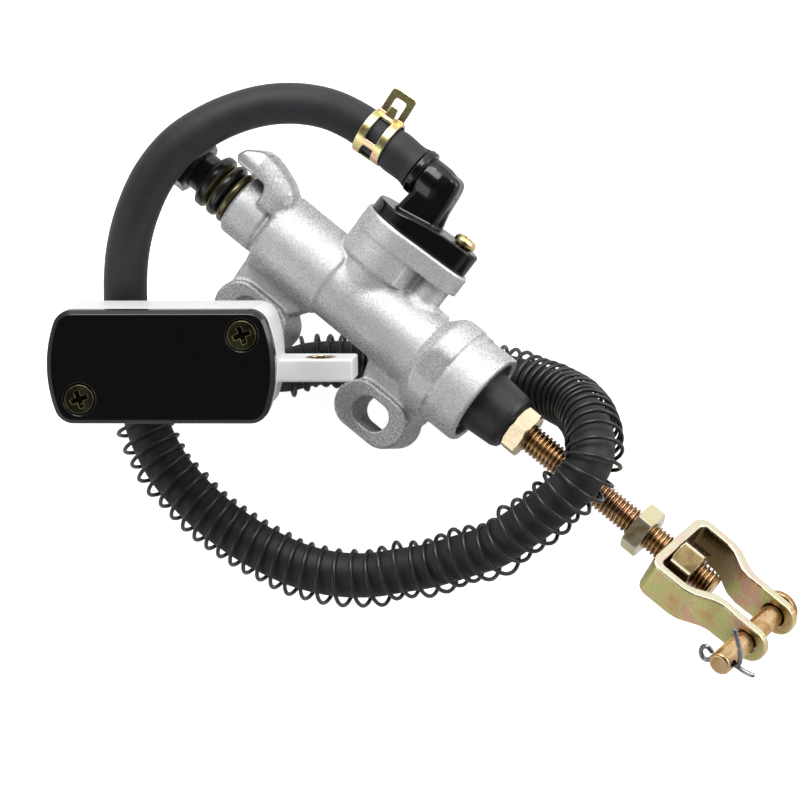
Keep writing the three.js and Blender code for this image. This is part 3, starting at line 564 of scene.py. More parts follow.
def curve(points, n):
    """Centripetal Catmull-Rom through the points, n samples evenly spaced by parameter."""
    points = np.asarray(points, float)
    t = np.linspace(0, len(points) - 1, n)
    i = np.minimum(t.astype(int), len(points) - 2)
    w = (t - i)[:, None]
    before, after = 2 * points[0] - points[1], 2 * points[-1] - points[-2]
    padded = np.concatenate([[before], points, [after]])
    p0, p1, p2, p3 = (padded[i + k] for k in range(4))
    d0, d1, d2 = (
        maximum(((b - a) ** 2).sum(1) ** 0.25, 1e-6)[:, None]
        for a, b in ((p0, p1), (p1, p2), (p2, p3))
    )
    t1 = ((p1 - p0) / d0 - (p2 - p0) / (d0 + d1) + (p2 - p1) / d1) * d1
    t2 = ((p2 - p1) / d1 - (p3 - p1) / (d1 + d2) + (p3 - p2) / d2) * d1
    cubic = (2 * p1 - 2 * p2 + t1 + t2) * w**3
    return p1 + t1 * w + (-3 * p1 + 3 * p2 - 2 * t1 - t2) * w**2 + cubic


def lengths(line):
    """Distance along the line at each point."""
    steps = np.linalg.norm(np.diff(line, axis=0), axis=1)
    return np.concatenate([[0], np.cumsum(steps)])


def along(position, stations, rows):
    """Each column of rows interpolated at a distance along the line."""
    return np.stack([np.interp(position, stations, rows[:, k]) for k in range(3)], 1)


def even(line, step):
    """The same line with points an even distance apart, and their distances."""
    stations = lengths(line)
    n = max(2, int(round(stations[-1] / step)) + 1)
    position = np.linspace(0, stations[-1], n)
    return along(position, stations, line), position


def fit(ob, body, node, slot, finish=None):
    """Rides on its body, stands for its node, and takes its finish."""
    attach(ob, body)
    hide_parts(node)
    ob.data.materials.clear()
    ob.data.materials.append(FINISHES[finish or slot])
    return ob


# ---------------------------------------------------------------- finishes
FINISHES = {}


def add_node(tree, kind, inputs=None, **settings):
    """A shader node; each input is a socket to link or a value."""
    node = tree.nodes.new("ShaderNode" + kind)
    for key, value in settings.items():
        setattr(node, key, value)
    feed(tree, node, inputs or {})
    return node


def feed(tree, node, inputs):
    for key, value in inputs.items():
        if isinstance(value, bpy.types.NodeSocket):
            tree.links.new(value, node.inputs[key])
        else:
            node.inputs[key].default_value = value


class Finish:
    """One material's node tree, with coordinates in mm."""

    def __init__(self, name):
        material = FINISHES[name] = bpy.data.materials.new(name)
        material.use_nodes = True
        self.tree = material.node_tree
        self.tree.nodes.clear()
        self.shader = self.node("BsdfPrincipled")
        self.node("OutputMaterial", {0: self.shader.outputs[0]})
        metres = self.node("TexCoord").outputs["Object"]
        self.mm = self.node("Mapping", {0: metres, "Scale": (1000, 1000, 1000)}).outputs[0]

    def node(self, kind, inputs=None, **settings):
        return add_node(self.tree, kind, inputs, **settings)

    def surface(self, **values):
        feed(self.tree, self.shader, {k.replace("_", " "): v for k, v in values.items()})

    def stretched(self, scale):
        return self.node("Mapping", {0: self.mm, "Scale": scale}).outputs[0]

    def noise(self, scale, detail, rough, vector=None, distortion=0.0):
        vector = self.mm if vector is None else vector
        inputs = {"Vector": vector, "Scale": scale, "Detail": detail}
        inputs |= {"Roughness": rough, "Distortion": distortion}
        return self.node("TexNoise", inputs).outputs[0]

    def ramp(self, value, stops):
        """stops are (position, colour)."""
        node = self.node("ValToRGB", {0: value})
        elements = node.color_ramp.elements
        while len(elements) < len(stops):
            elements.new(0.5)
        for element, (position, colour) in zip(elements, stops):
            element.position = position
            element.color = (*colour, 1)
        return node.outputs[0]

    def remap(self, value, span, to):
        inputs = {0: value, 1: span[0], 2: span[1], 3: to[0], 4: to[1]}
        return self.node("MapRange", inputs).outputs[0]

    def math(self, operation, a, b=0.0):
        return self.node("Math", {0: a, 1: b}, operation=operation).outputs[0]

    def add(self, a, b):
        return self.math("ADD", a, b)

    def times(self, a, b):
        return self.math("MULTIPLY", a, b)

    def mix(self, amount, a, b, mode="MIX"):
        a, b = ((*c, 1) if isinstance(c, tuple) else c for c in (a, b))
        inputs = {0: amount, 6: a, 7: b}
        return self.node("Mix", inputs, data_type="RGBA", blend_type=mode).outputs[2]

    def shade(self, colour, by):
        return self.mix(1.0, colour, by, "MULTIPLY")

    def facing(self, blend):
        return self.node("LayerWeight", {0: blend}).outputs["Facing"]

    def attribute(self, name):
        return self.node("Attribute", attribute_name=name).outputs["Fac"]

    def position(self):
        return self.node("SeparateXYZ", {0: self.mm}).outputs

    def bump(self, height, depth):
        inputs = {"Strength": 1.0, "Distance": depth * MM, "Height": height}
        return self.node("Bump", inputs).outputs[0]

    def openness(self, reach):
        """1 in the open, 0 in a crevice."""
        return self.node("AmbientOcclusion", {"Distance": reach * MM}, samples=5).outputs["AO"]

    def crest(self, span):
        """1 on convex edges."""
        pointiness = self.node("NewGeometry").outputs["Pointiness"]
        return self.remap(pointiness, span, to=(0, 1))


def cast_aluminium():
    fin = Finish("cast_aluminium")
    grain = fin.noise(scale=2.3, detail=4, rough=0.68)
    fine = fin.noise(scale=6.5, detail=2, rough=0.6)
    mottle = fin.noise(scale=0.28, detail=3, rough=0.55)
    machined = fin.attribute("machined")
    # cast grain, smoothed where machined and marked with fine cutter lines there
    height = fin.add(fin.times(grain, 0.8), fin.times(fine, 0.35))
    height = fin.times(height, fin.math("SUBTRACT", 1.0, fin.times(machined, 0.85)))
    lines = fin.noise(scale=9, detail=1, rough=0.5, vector=fin.stretched((0.05, 6, 0.05)))
    height = fin.add(height, fin.times(fin.times(lines, machined), 0.12))
    speck = fin.add(fin.times(grain, 0.6), fin.times(fine, 0.4))
    stops = [
        (0.38, (0.14, 0.143, 0.146)),
        (0.48, (0.60, 0.603, 0.606)),
        (0.57, (0.97, 0.973, 0.976)),
    ]
    colour = fin.ramp(speck, stops)
    # speckle shows most where the surface turns away
    edge_on = fin.remap(fin.facing(blend=0.5), (0.10, 0.60), to=(0.38, 1.0))
    colour = fin.mix(edge_on, (0.80, 0.803, 0.806), colour)
    colour = fin.mix(fin.remap(mottle, (0.35, 0.7), to=(0, 0.3)), colour, (0.55, 0.555, 0.57))
    matt = fin.attribute("matt")
    pits = fin.remap(speck, (0.40, 0.58), to=(0.46, 0.86))
    colour = fin.mix(matt, colour, fin.shade(colour, pits))
    colour = fin.mix(machined, colour, (0.80, 0.805, 0.81))
    # painted shade: darker in crevices and corners, by ambient occlusion
    colour = fin.shade(colour, fin.remap(fin.openness(reach=2.6), (0.25, 0.85), to=(0.55, 1.0)))
    # painted highlight: convex edges paler
    colour = fin.mix(fin.times(fin.crest((0.53, 0.60)), 0.75), colour, (0.95, 0.95, 0.95))
    rough = fin.remap(speck, (0.35, 0.65), to=(0.58, 0.42))
    rough = fin.math("SUBTRACT", rough, fin.times(machined, 0.18))
    normal = fin.bump(height, depth=0.15)
    fin.surface(Base_Color=colour, Metallic=0.8, Roughness=rough, Normal=normal)


def plated(name, stops, rough, hollow=(0.16, 0.10, 0.045), rim=(1.0, 0.97, 0.84), band=None):
    """Clouded metal: hollow is painted shade in crevices, rim a painted highlight on edges, band
    is an X span left paler.
    """
    fin = Finish(name)
    cloud = fin.noise(scale=0.13, detail=3, rough=0.55, distortion=0.8)
    cloud = fin.remap(cloud, (0.30, 0.70), to=(0.0, 1.0))
    tone = fin.add(fin.times(cloud, 0.8), fin.times(fin.facing(blend=0.35), 0.30))
    colour = fin.ramp(tone, stops)
    spots = fin.noise(scale=1.6, detail=4, rough=0.7)
    spot_colour = tuple(c * 0.55 for c in stops[0][1])
    colour = fin.mix(fin.remap(spots, (0.56, 0.75), to=(0, 0.30)), colour, spot_colour)
    # painted shade: the hollow colour darkens crevices, by ambient occlusion
    sky = fin.remap(fin.openness(reach=8.0), (0.30, 0.92), to=(0.0, 1.0))
    colour = fin.shade(colour, fin.mix(sky, hollow, (1.0, 1.0, 1.0)))
    # painted shade: the hollow colour laid over where the inside attribute is set
    colour = fin.mix(fin.times(fin.attribute("inside"), 0.9), colour, hollow)
    # painted highlight: the rim colour on faces the edge attribute marks
    colour = fin.mix(fin.times(fin.attribute("edge"), 0.6), colour, rim)
    if band:
        centre, inner, outer = band
        off = fin.math("ABSOLUTE", fin.math("SUBTRACT", fin.position()[0], centre))
        colour = fin.mix(fin.remap(off, (inner, outer), to=(0.6, 0.0)), colour, (1.0, 0.90, 0.70))
    # painted highlight: the rim colour on convex edges
    colour = fin.mix(fin.times(fin.crest((0.51, 0.57)), 0.8), colour, rim)
    brush = fin.noise(scale=2.5, detail=3, rough=0.55, vector=fin.stretched((0.35, 1.6, 1.6)))
    fin.surface(
        Base_Color=colour,
        Metallic=1.0,
        Roughness=fin.remap(spots, (0.3, 0.75), to=(rough * 0.85, rough * 1.35)),
        Normal=fin.bump(brush, depth=0.008),
    )


# name: (stops of position and colour, other settings)
PLATED = {
    "yellow_zinc": (
        [(0.10, (0.86, 0.52, 0.24)), (0.28, (0.95, 0.74, 0.34)), (0.42, (0.82, 0.84, 0.34)),
         (0.52, (0.96, 0.80, 0.38)), (0.62, (1.0, 0.60, 0.42)), (0.76, (1.0, 0.64, 0.40)),
         (0.88, (0.94, 0.80, 0.38))],
        dict(rough=0.25),
    ),
    "gold_zinc": (
        [(0.15, (0.42, 0.24, 0.09)), (0.40, (0.74, 0.46, 0.20)), (0.56, (0.90, 0.66, 0.36)),
         (0.72, (0.86, 0.52, 0.33)), (0.95, (0.60, 0.36, 0.16))],
        # the band covers the push rod's hexagon: centre, full to, faded by
        dict(rough=0.24, hollow=(0.22, 0.13, 0.07), rim=(0.98, 0.80, 0.50),
             band=(54.92, 1.9, 2.0)),
    ),
    # painted shade: a darker copy of pale_zinc, worn by the nut inside the clevis
    "shaded_zinc": (
        [(0.2, (0.20, 0.13, 0.06)), (0.5, (0.34, 0.25, 0.12)), (0.8, (0.24, 0.18, 0.08))],
        dict(rough=0.26, rim=(1.0, 0.92, 0.66)),
    ),
    "pale_zinc": (
        [(0.15, (0.70, 0.52, 0.24)), (0.36, (0.92, 0.80, 0.44)), (0.52, (0.95, 0.88, 0.58)),
         (0.68, (0.94, 0.70, 0.48)), (0.82, (0.72, 0.74, 0.36)), (0.95, (0.80, 0.62, 0.32))],
        dict(rough=0.22),
    ),
    "olive_zinc": (
        [(0.2, (0.050, 0.046, 0.022)), (0.5, (0.13, 0.12, 0.06)), (0.8, (0.09, 0.08, 0.04))],
        dict(rough=0.34, rim=(0.30, 0.27, 0.15)),
    ),
    "brass": (
        [(0.2, (0.62, 0.44, 0.16)), (0.5, (0.86, 0.68, 0.34)), (0.8, (0.74, 0.55, 0.24))],
        dict(rough=0.25),
    ),
    "plain_steel": (
        [(0.2, (0.16, 0.16, 0.17)), (0.5, (0.42, 0.43, 0.44)), (0.8, (0.24, 0.25, 0.26))],
        dict(rough=0.22, hollow=(0.3, 0.3, 0.3), rim=(0.45, 0.46, 0.47)),
    ),
    "anodised_aluminium": (
        [(0.2, (0.42, 0.43, 0.45)), (0.5, (0.56, 0.57, 0.59)), (0.8, (0.48, 0.49, 0.52))],
        dict(rough=0.3, hollow=(0.5, 0.5, 0.5), rim=(0.8, 0.8, 0.8)),
    ),
}


def black_gloss(name, base, rough, wave, coat):
    fin = Finish(name)
    broad = fin.noise(scale=0.8, detail=3, rough=0.55)
    fine = fin.noise(scale=7, detail=2, rough=0.6)
    stops = [(at, tuple(c * gain for c in base)) for at, gain in ((0.3, 0.75), (0.7, 1.3))]
    fin.surface(
        Base_Color=fin.ramp(broad, stops),
        Roughness=fin.remap(fine, (0.3, 0.7), to=(rough * 0.8, rough * 1.35)),
        Normal=fin.bump(fin.add(broad, fin.times(fine, 0.12)), depth=wave),
        Coat_Weight=coat,
        Coat_Roughness=0.08,
    )


def bronze_steel():
    """Black with bands of bronze across X: the washers' bronze tone, with a painted warm
    reflection in the bands.
    """
    fin = Finish("bronze_steel")
    phase, pitch = 29.2, 4.0
    turned = fin.times(fin.add(fin.position()[0], phase), 2 * pi / pitch)
    band = fin.math("SINE", turned)
    cloud = fin.noise(scale=0.9, detail=3, rough=0.6)
    # bronze bands: the washers' bronze tone, and a painted reflection across their rims
    bronze = fin.remap(fin.add(band, fin.times(cloud, 0.8)), (0.45, 1.05), to=(0, 1))
    fin.surface(
        Base_Color=fin.mix(bronze, (0.014, 0.014, 0.013), (0.17, 0.145, 0.075)),
        Metallic=fin.remap(bronze, (0, 1), to=(0.1, 0.85)),
        Roughness=0.27,
        Normal=fin.bump(fin.noise(scale=4, detail=3, rough=0.6), depth=0.012),
        Coat_Weight=0.25,
        Coat_Roughness=0.12,
    )


def hose_rubber():
    """Matt rubber with a faint speckle, with painted shade making it darker towards -Y."""
    fin = Finish("hose_rubber")
    grain = fin.noise(scale=4.5, detail=4, rough=0.7)
    broad = fin.noise(scale=0.25, detail=3, rough=0.5)
    speckle = fin.node("TexVoronoi", {"Vector": fin.mm, "Scale": 2.6}).outputs["Distance"]
    colour = fin.ramp(broad, [(0.3, (0.013, 0.0145, 0.0165)), (0.7, (0.020, 0.022, 0.0255))])
    speckle = fin.remap(speckle, (0.0, 0.10), to=(0.35, 0))
    colour = fin.mix(speckle, colour, (0.06, 0.065, 0.072))
    # painted shade: darker towards -Y
    colour = fin.shade(colour, fin.remap(fin.position()[1], (-10, 45), to=(0.62, 1.0)))
    fin.surface(
        Base_Color=colour,
        Roughness=fin.remap(grain, (0.3, 0.7), to=(0.62, 0.48)),
        Normal=fin.bump(fin.add(grain, fin.times(broad, 0.8)), depth=0.045),
        Sheen_Weight=0.08,
    )


def boot_rubber():
    fin = Finish("boot_rubber")
    grain = fin.noise(scale=5, detail=3, rough=0.65)
    broad = fin.noise(scale=0.5, detail=3, rough=0.5)
    fin.surface(
        Base_Color=fin.ramp(broad, [(0.3, (0.018, 0.0185, 0.020)), (0.7, (0.028, 0.029, 0.032))]),
        Roughness=fin.remap(grain, (0.3, 0.7), to=(0.45, 0.34)),
        Normal=fin.bump(fin.add(grain, fin.times(broad, 1.2)), depth=0.03),
    )


def seal_rubber():
    fin = Finish("seal_rubber")
    grain = fin.noise(scale=4, detail=3, rough=0.6)
    fin.surface(
        Base_Color=fin.ramp(grain, [(0.3, (0.012, 0.012, 0.013)), (0.7, (0.026, 0.026, 0.028))]),
        Roughness=0.5,
        Normal=fin.bump(grain, depth=0.02),
    )


def milky_plastic():
    fin = Finish("milky_plastic")
    grain = fin.noise(scale=3.0, detail=3, rough=0.6)
    broad = fin.noise(scale=0.12, detail=3, rough=0.5)
    fin.surface(
        Base_Color=fin.ramp(broad, [(0.3, (0.80, 0.80, 0.785)), (0.7, (0.89, 0.89, 0.88))]),
        Roughness=fin.remap(grain, (0.3, 0.7), to=(0.42, 0.30)),
        Normal=fin.bump(grain, depth=0.018),
        Subsurface_Weight=0.35,
        Subsurface_Radius=(1.0, 0.95, 0.85),
        Subsurface_Scale=0.0018,
    )


def build_finishes():
    cast_aluminium()
    for name, (stops, settings) in PLATED.items():
        plated(name, stops, **settings)
    black_gloss("black_plastic", (0.0035, 0.0035, 0.0035), rough=0.15, wave=0.006, coat=0.12)
    black_gloss("black_steel", (0.012, 0.012, 0.0125), rough=0.24, wave=0.012, coat=0.2)
    black_gloss("black_wire", (0.014, 0.014, 0.0145), rough=0.26, wave=0.012, coat=0.2)
    for build in (bronze_steel, hose_rubber, boot_rubber, seal_rubber, milky_plastic):
        build()


# ---------------------------------------------------------------- casting
def arc(x, y, radius, start, end, steps):
    angles = [(start + (end - start) * k / steps) * DEG for k in range(steps + 1)]
    return [(x + radius * cos(a), y + radius * sin(a)) for a in angles]


def cam_points(radius, ear_x, ear_radius):
    """A circle at the origin and a smaller one on +X, joined by their tangents."""
    a = acos((radius - ear_radius) / ear_x) / DEG
    return arc(0, 0, radius, a, 360 - a, 60) + arc(ear_x, 0, ear_radius, -a, a, 24)


def casting():
    barrel = turning(
        [(PORT_X, 0), (PORT_X, 6.4), (PORT_X + 0.7, 7.1), (-24.4, 7.1), (-24.0, 6.7),
         (-23.2, 6.7), (-22.9, 7.7), (-22.2, 8.55), (-21.4, 8.9), (-5.2, 8.9), (-4.6, 8.3),
         (19.5, 8.3), (20.5, 9.4), (22.1, 10.9), (23.0, 11.3), (27.05, 11.3), (27.2, 10.75),
         (27.6, 10.75), (27.75, 11.0), (MOUTH_X - 0.4, 11.0), (MOUTH_X, 10.6), (MOUTH_X, 0)],
        blur=0.16,
    )
    boss = turning(
        [(0, 0), (0, BOSS_ROOT_R), (6.7, BOSS_ROOT_R), (7.5, BOSS_R), (19, BOSS_R), (19, 0)],
        blur=0.12,
    )
    cam = Outline(cam_points(BOSS_R - 0.02, EAR_X, 4.75))
    # (x, y): the hook beside the port, and the back of it that both outlines share
    hook_back = [
        (-20.9, 7.1), (-22.2, 9.2), (-24.2, 10.5), (-26.4, 11.4), (-28.6, 12.1), (-31.0, 12.6),
        (-33.2, 12.5),
    ]
    hook = Outline(
        [(-36.95, 8.6), (-35.7, 7.15), (-28.4, 7.15), (-27.5, 5.6), (-27.4, 2.8), (-21.2, 3.2),
         *hook_back, (-35.9, 10.7)],
        step=0.05,
        blur=0.3,
    )
    back = Outline(
        [(-42, -5), (-42, 12.6), (-36.5, 12.6), *hook_back[::-1], (-20.9, -5)], margin=4
    )
    webs = [
        Outline(points, blur=0.5)
        for points in (
            [(-23.3, -4), (-6.2, -4), (-6.2, -8.6), (-9.6, -13.2), (-9.6, -17), (-22.6, -17),
             (-23.3, -11)],
            [(10.9, -4), (27.0, -4), (27.0, -13.4), (25.0, -17), (12.2, -17), (12.2, -13.0),
             (10.9, -9.4)],
        )
    ]
    bore = turning(
        [(-22.4, 0), (-22.4, 3.4), (-21.4, BORE_R), (24.2, BORE_R), (24.2, 6.6), (25.6, 6.6),
         (25.6, 7.4), (26.9, 7.4), (26.9, 6.6), (28.0, 6.6), (28.0, 7.6), (29.0, 9.2), (37, 9.2),
         (37, 0)],
        blur=0.05,
    )
    outlet = turning(
        [(-34, 0), (-34, 5.1), (-32.0, 5.1), (-31.4, 4.5), (-24.4, 4.5), (-23.9, 1.6),
         (-20, 1.6), (-20, 0)],
        blur=0.05,
    )
    inlet = turning(
        [(3.0, 0), (3.0, 1.1), (8.6, 1.1), (8.6, 6.2), (16.9, 6.2), (18.5, 7.2), (18.5, 0)],
        blur=0.05,
    )

    def solid(x, y, z):
        r = hypot(y, z)
        d = join(barrel(x, r), boss(y, hypot(x, z)), 0.45)
        d = join(d, both(circle(x, z, 3.5, EAR_X), slab(y, 3.0, 13.6)), 1.3)
        d = join(d, both(cam(x, z), slab(y, 12.9, 19), 0.3), 0.45)
        for web in webs:
            d = join(d, both(web(x, y), slab(z, -10.4, 0.7), 0.7), 1.5)
        for lug_x in LUG_XS:
            lug = stadium(x - lug_x, y - LUG_Y, LUG_LENGTH, LUG_WIDTH)
            d = join(d, both(lug, slab(z, LUG_BACK, LUG_FRONT), 0.75), 0.7)
        # parting line: a low land along the -Y side of the barrel
        land = both(slab(z, -0.55, 0.55), slab(x, -21.5, 19.0))
        d = join(d, both(land, both(r - 9.12, -y, 0.1), 0.12), 0.25)
        # hook, its back sloping away
        claw = both(hook(x, y), slab(z, -0.5, 8.1), 0.75)
        slope = (back(x, y) + 2.5) * 0.50 + (z - 8.1) * 0.866
        d = join(d, both(claw, slope, 0.7), 0.7)
        # flange face, with a small chamfer
        top = y - BOSS_TOP
        chamfer = (d + top) * f32(0.7071) + f32(0.24)
        d = maximum(maximum(d, top), np.where(y > 14, chamfer, -9))
        # flat on the collar, and flats on both Y sides of the mouth
        flat = 10.15 - spun(y, z, 7)[1]
        d = cut(d, both(flat, slab(x, 18.0, 27.15)), 0.3)
        d = cut(d, both(10.45 - np.abs(y), 29.2 - x), 0.25)
        d = cut(d, bore(x, r), 0.22)
        d = cut(d, outlet(x, r), 0.15)
        d = cut(d, inlet(y, hypot(x, z)), 0.1)
        d = cut(d, both(circle(x, z, 0.45, -4.4), slab(y, 3, 9.2)))
        d = cut(d, both(circle(x, z, 1.75, SCREW_X), 7.5 - y), 0.15)
        for lug_x in LUG_XS:
            d = cut(d, stadium(x - lug_x, y - LUG_Y, SLOT_LENGTH, SLOT_WIDTH), 0.5)
        return d

    def machined(x, y, z):
        r = hypot(y, z)
        depth = bore(x, r)
        mouth = (r < 9.3) & (x > 24) & (depth < 0.3)
        return ((y > 17.1) | (x < -31.8) | mouth | (depth < 0.15)).astype(f32)

    def matt(x, y, z):
        lug = (z > 1.55) & (y < -11.7)
        claw = (z > 3.0) & (y > 2.8) & (x < -20.5) & (back(x, y) < 0.4)
        flat = (z > 9.9) & (x > 18.0) & (x < 27.1)
        return np.where(lug, 1.0, np.where(claw, 0.55, np.where(flat, 0.6, 0.0))).astype(f32)

    attributes = {"machined": machined, "matt": matt}
    low, high = (-37.9, -22.5, -11.5), (35.7, 17.5, 11.3)
    ob = field("casting", solid, low, high, 0.26, attributes=attributes)
    fit(ob, "cylinder", "cylinder_body", "cast_aluminium")


# ---------------------------------------------------------------- inlet elbow
def elbow():
    cam = Outline(cam_points(8.5, SCREW_X, 4.2), step=0.05)
    arm = turning(
        [(-4.0, 0), (-4.0, 4.45), (0.4, 4.45), (2.0, 3.6), (3.2, 1.8), (3.4, 0)],
        step=0.05,
        blur=0.35,
    )
    spigot = turning(
        [(-17.4, 0), (-17.4, 2.5), (-16.4, 3.1), (-14.8, 3.1), (-14.8, 2.85), (-3.0, 2.85),
         (-3.0, 0)],
        step=0.05,
        blur=0.06,
    )
    rib = Outline(
        [(0, 21), (6.5, 21.6), (5.5, 25.6), (4.6, 28.7), (4.9, 29.2), (4.4, 29.8), (3.3, 31.3),
         (1.2, 33.2), (0, 33.2)],
        step=0.05,
        blur=0.1,
    )
    plug = turning(
        [(10.6, 0), (10.6, 5.2), (11.2, 5.7), (12.0, 5.7), (12.0, 4.6), (14.4, 4.6), (14.4, 5.8),
         (19, 5.8), (19, 0)],
        step=0.05,
        blur=0.05,
    )

    def solid(x, y, z):
        top = y - taper(x, [-12, -3.0, 4.2, 8.5, 20], [20.35, 20.4, 21.8, 22.3, 22.6])
        flange = both(both(cam(x, z), 17.65 - y, 0.25), top, 0.55)
        around_y, around_x = hypot(x, z), hypot(y - SPIGOT_Y, z)
        # tapering post with rounded corners
        corner = 1.5
        half_x = taper(y, [18, 24, 31, 34], [5.3, 4.5, 3.9, 3.3]) - corner
        half_z = taper(y, [18, 31, 34], [3.75, 3.45, 3.0]) - corner
        over_x = np.abs(x - taper(y, [18, 30, 34], [0.9, 0.7, 0.3])) - half_x
        over_z = np.abs(z) - half_z
        post = hypot(maximum(over_x, 0), maximum(over_z, 0))
        post = post + minimum(maximum(over_x, over_z), 0) - corner
        post = both(post, slab(y, 18.5, 33.0), 1.3)
        post = join(post, arm(x, around_x), 0.7)
        post = join(post, both(rib(x, y), slab(z, -0.9, 0.9), 0.3), 0.4)
        d = join(flange, post, 0.8)
        d = join(d, both(around_x - 5.2, slab(x, -5.7, -3.9), 0.4), 0.15)
        d = join(d, spigot(x, around_x))
        d = join(d, plug(y, around_y))
        d = cut(d, both(around_y - 2.1, slab(y, 9, SPIGOT_Y + 0.5), 0.5), 0.15)
        d = cut(d, both(around_x - 1.9, slab(x, -20, 0.5), 0.5), 0.15)
        return cut(d, both(circle(x, z, 2.0, SCREW_X), slab(y, 14, 26)), 0.2)

    ob = field("elbow", solid, (-17.4, 10.6, -8.5), (16.1, 33.6, 8.5), 0.17)
    fit(ob, "cylinder", "inlet_elbow", "black_plastic")
    profile = [(12.25, 5.0, 0.4), (14.15, 5.0, 0.4), (14.15, 6.0, 0.7), (12.25, 6.0, 0.7)]
    ob = lathe("inlet_ring", profile, closed=True, place=ALONG_Y)
    fit(ob, "cylinder", "inlet_o_ring", "seal_rubber")


def flange_screw():
    head = turning(
        [(9.0, 0), (9.0, 1.2), (9.6, 1.55), (22.75, 1.55), (22.75, 2.3), (22.95, 2.55),
         (23.8, 2.5), (24.4, 2.0), (24.7, 0)],
        step=0.03,
        blur=0.08,
    )

    def solid(x, y, z):
        recess = cross(*spun(x, z, 25), 1.5, 0.34 + maximum(y - 24.0, 0) * 0.25)
        return cut(head(y, hypot(x, z)), both(recess, 23.55 - y, 0.08), 0.08)

    low, high = (-2.6, 9, -2.6), (2.6, 24.7, 2.6)
    ob = field("flange_screw", solid, low, high, 0.1, shift(SCREW_X, 0, 0))
    fit(ob, "cylinder", "elbow_screw", "yellow_zinc")


# ---------------------------------------------------------------- outlet bolt and washers
def bolt_and_washers():
    rings = [(-50.2, 0), (-50.2, 3.2), (-50.0, 3.55), (-49.6, 3.8), (-49.4, 3.8)]
    rings += hex_rings(-49.4, -43.2, corners=13.0, degrees=12, chamfer=0.8)
    rings += [(-43.2, 4.3), (-40.6, 4.3), (-40.5, 4.2), (-40.45, 3.9)]
    crest, root, pitch = 3.9, 3.45, 1.25
    for k in range(11):  # thread drawn as plain rings
        x = -40.2 + pitch * k
        rings += [(x, crest), (x + 0.42, root), (x + 0.72, root), (x + 1.13, crest)]
    rings += [(-26.4, crest), (-25.8, 3.4), (-25.8, 1.2), (-44.5, 1.2), (-44.9, 0)]
    fit(ringed("port_bolt", rings, phase=12), "cylinder", "banjo_bolt", "black_steel")
    for i, (x0, x1) in enumerate(((-40.3, -37.25), (-37.1, -34.35), (-34.2, -32.15)), 1):
        middle, crown = (x0 + x1) / 2, 0.55 * ((x1 - x0) / 2)
        profile = [
            (x0, 4.2), (x1, 4.2), (x1, 4.95, 0.3), (middle + crown, 6.1, 0.9),
            (middle - crown, 6.1, 0.9), (x0, 4.95, 0.3),
        ]
        ob = lathe("port_washer_%d" % i, profile, closed=True, corner_steps=6)
        fit(ob, "cylinder", "sealing_washer_%d" % i, "bronze_steel")


# ---------------------------------------------------------------- inside the bore
# Lathe profiles are (x, radius[, corner radius]).
PLUNGER = [
    (-1.2, 0), (-1.2, 1.9, 0.3), (2.2, 2.1), (2.2, 2.9, 0.3), (5.4, 2.9, 0.2), (5.4, 5.4, 0.3),
    (7.4, 5.4, 0.3), (7.4, 3.6, 0.2), (14.4, 3.6, 0.2), (14.4, 5.4, 0.2), (15.4, 5.4, 0.2),
    (15.4, 4.2), (17.6, 4.2), (17.6, 5.4, 0.2), (24.0, 5.4, 0.3), (24.0, 4.9, 0.2), (22.3, 4.9),
    (22.0, 3.75, 0.2), (20.6, 3.75), (18.8, 3.4, 1.0), (17.4, 2.3, 0.8), (16.65, 0),
]
PLUNGER_CUP = [
    (2.6, 3.05), (5.2, 3.05, 0.2), (5.2, 5.3, 0.3), (3.4, 5.4, 0.2), (2.6, 5.4, 0.15),
    (2.6, 4.9, 0.15), (3.9, 4.4, 0.4), (3.9, 3.7, 0.4), (2.6, 3.5, 0.2),
]
PLUNGER_SEAL = [
    (15.6, 4.35), (17.4, 4.35), (17.4, 5.2, 0.2), (16.4, 5.42, 0.3), (15.6, 5.42, 0.2),
]
BORE_WASHER = [(24.4, 3.9, 0.1), (25.4, 3.9, 0.1), (25.4, 6.4, 0.15), (24.4, 6.4, 0.15)]
ROD_BOOT = [
    (29.6, 5.4, 0.2), (33.4, 5.4, 0.3), (34.4, 5.6), (42.6, 5.2, 0.4), (42.6, 3.78, 0.2),
    (44.2, 3.78, 0.2), (44.2, 4.9, 0.35), (43.65, 5.95, 0.5), (42.5, 6.45, 0.8),
    (36.0, 6.95, 1.5), (34.75, 7.1, 0.5), (34.35, 8.8, 0.25), (33.4, 8.9, 0.3), (29.6, 8.9, 0.3),
]


def bore_spring():
    """A coil narrowing towards +X, its turns closed up at both ends."""
    turns, start_x, length, start_r, end_r = 7.5, -20.7, 22.1, 4.3, 3.0
    end, slow = 0.12, 0.35  # share of the wire in each end, and its relative pitch
    t = np.linspace(0, 1, 700)
    middle = slow * end + (t - end) * (1 - 2 * slow * end) / (1 - 2 * end)
    rise = np.where(t < end, slow * t, np.where(t > 1 - end, 1 - slow * (1 - t), middle))
    angle = 2 * pi * turns * t
    r = start_r + (end_r - start_r) * t
    line = np.stack([start_x + length * rise, r * np.cos(angle), r * np.sin(angle)], 1)
    ob = tube("bore_spring", line, 0.48, sides=14)
    fit(ob, "cylinder", "return_spring", "plain_steel")
    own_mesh(ob)


def bore_clip():
    """An open ring with two drilled ears."""
    x0, x1, ear_y, ear_z = 25.75, 26.75, 2.3, -6.1

    def solid(x, y, z):
        r = hypot(y, z)
        d = both(np.abs(r - 6.35) - 0.85, slab(x, x0, x1), 0.12)
        d = cut(d, both(slab(y, -1.3, 1.3), -z), 0.3)
        ears, holes = (
            minimum(circle(y, z, size, -ear_y, ear_z), circle(y, z, size, ear_y, ear_z))
            for size in (1.15, 0.5)
        )
        d = join(d, both(ears, both(slab(x, x0, x1), r - 7.18), 0.12), 0.2)
        return cut(d, holes, 0.08)

    ob = field("bore_clip", solid, (x0, -7.2, -7.2), (x1, 7.2, 7.2), 0.12)
    fit(ob, "cylinder", "retaining_ring", "plain_steel")


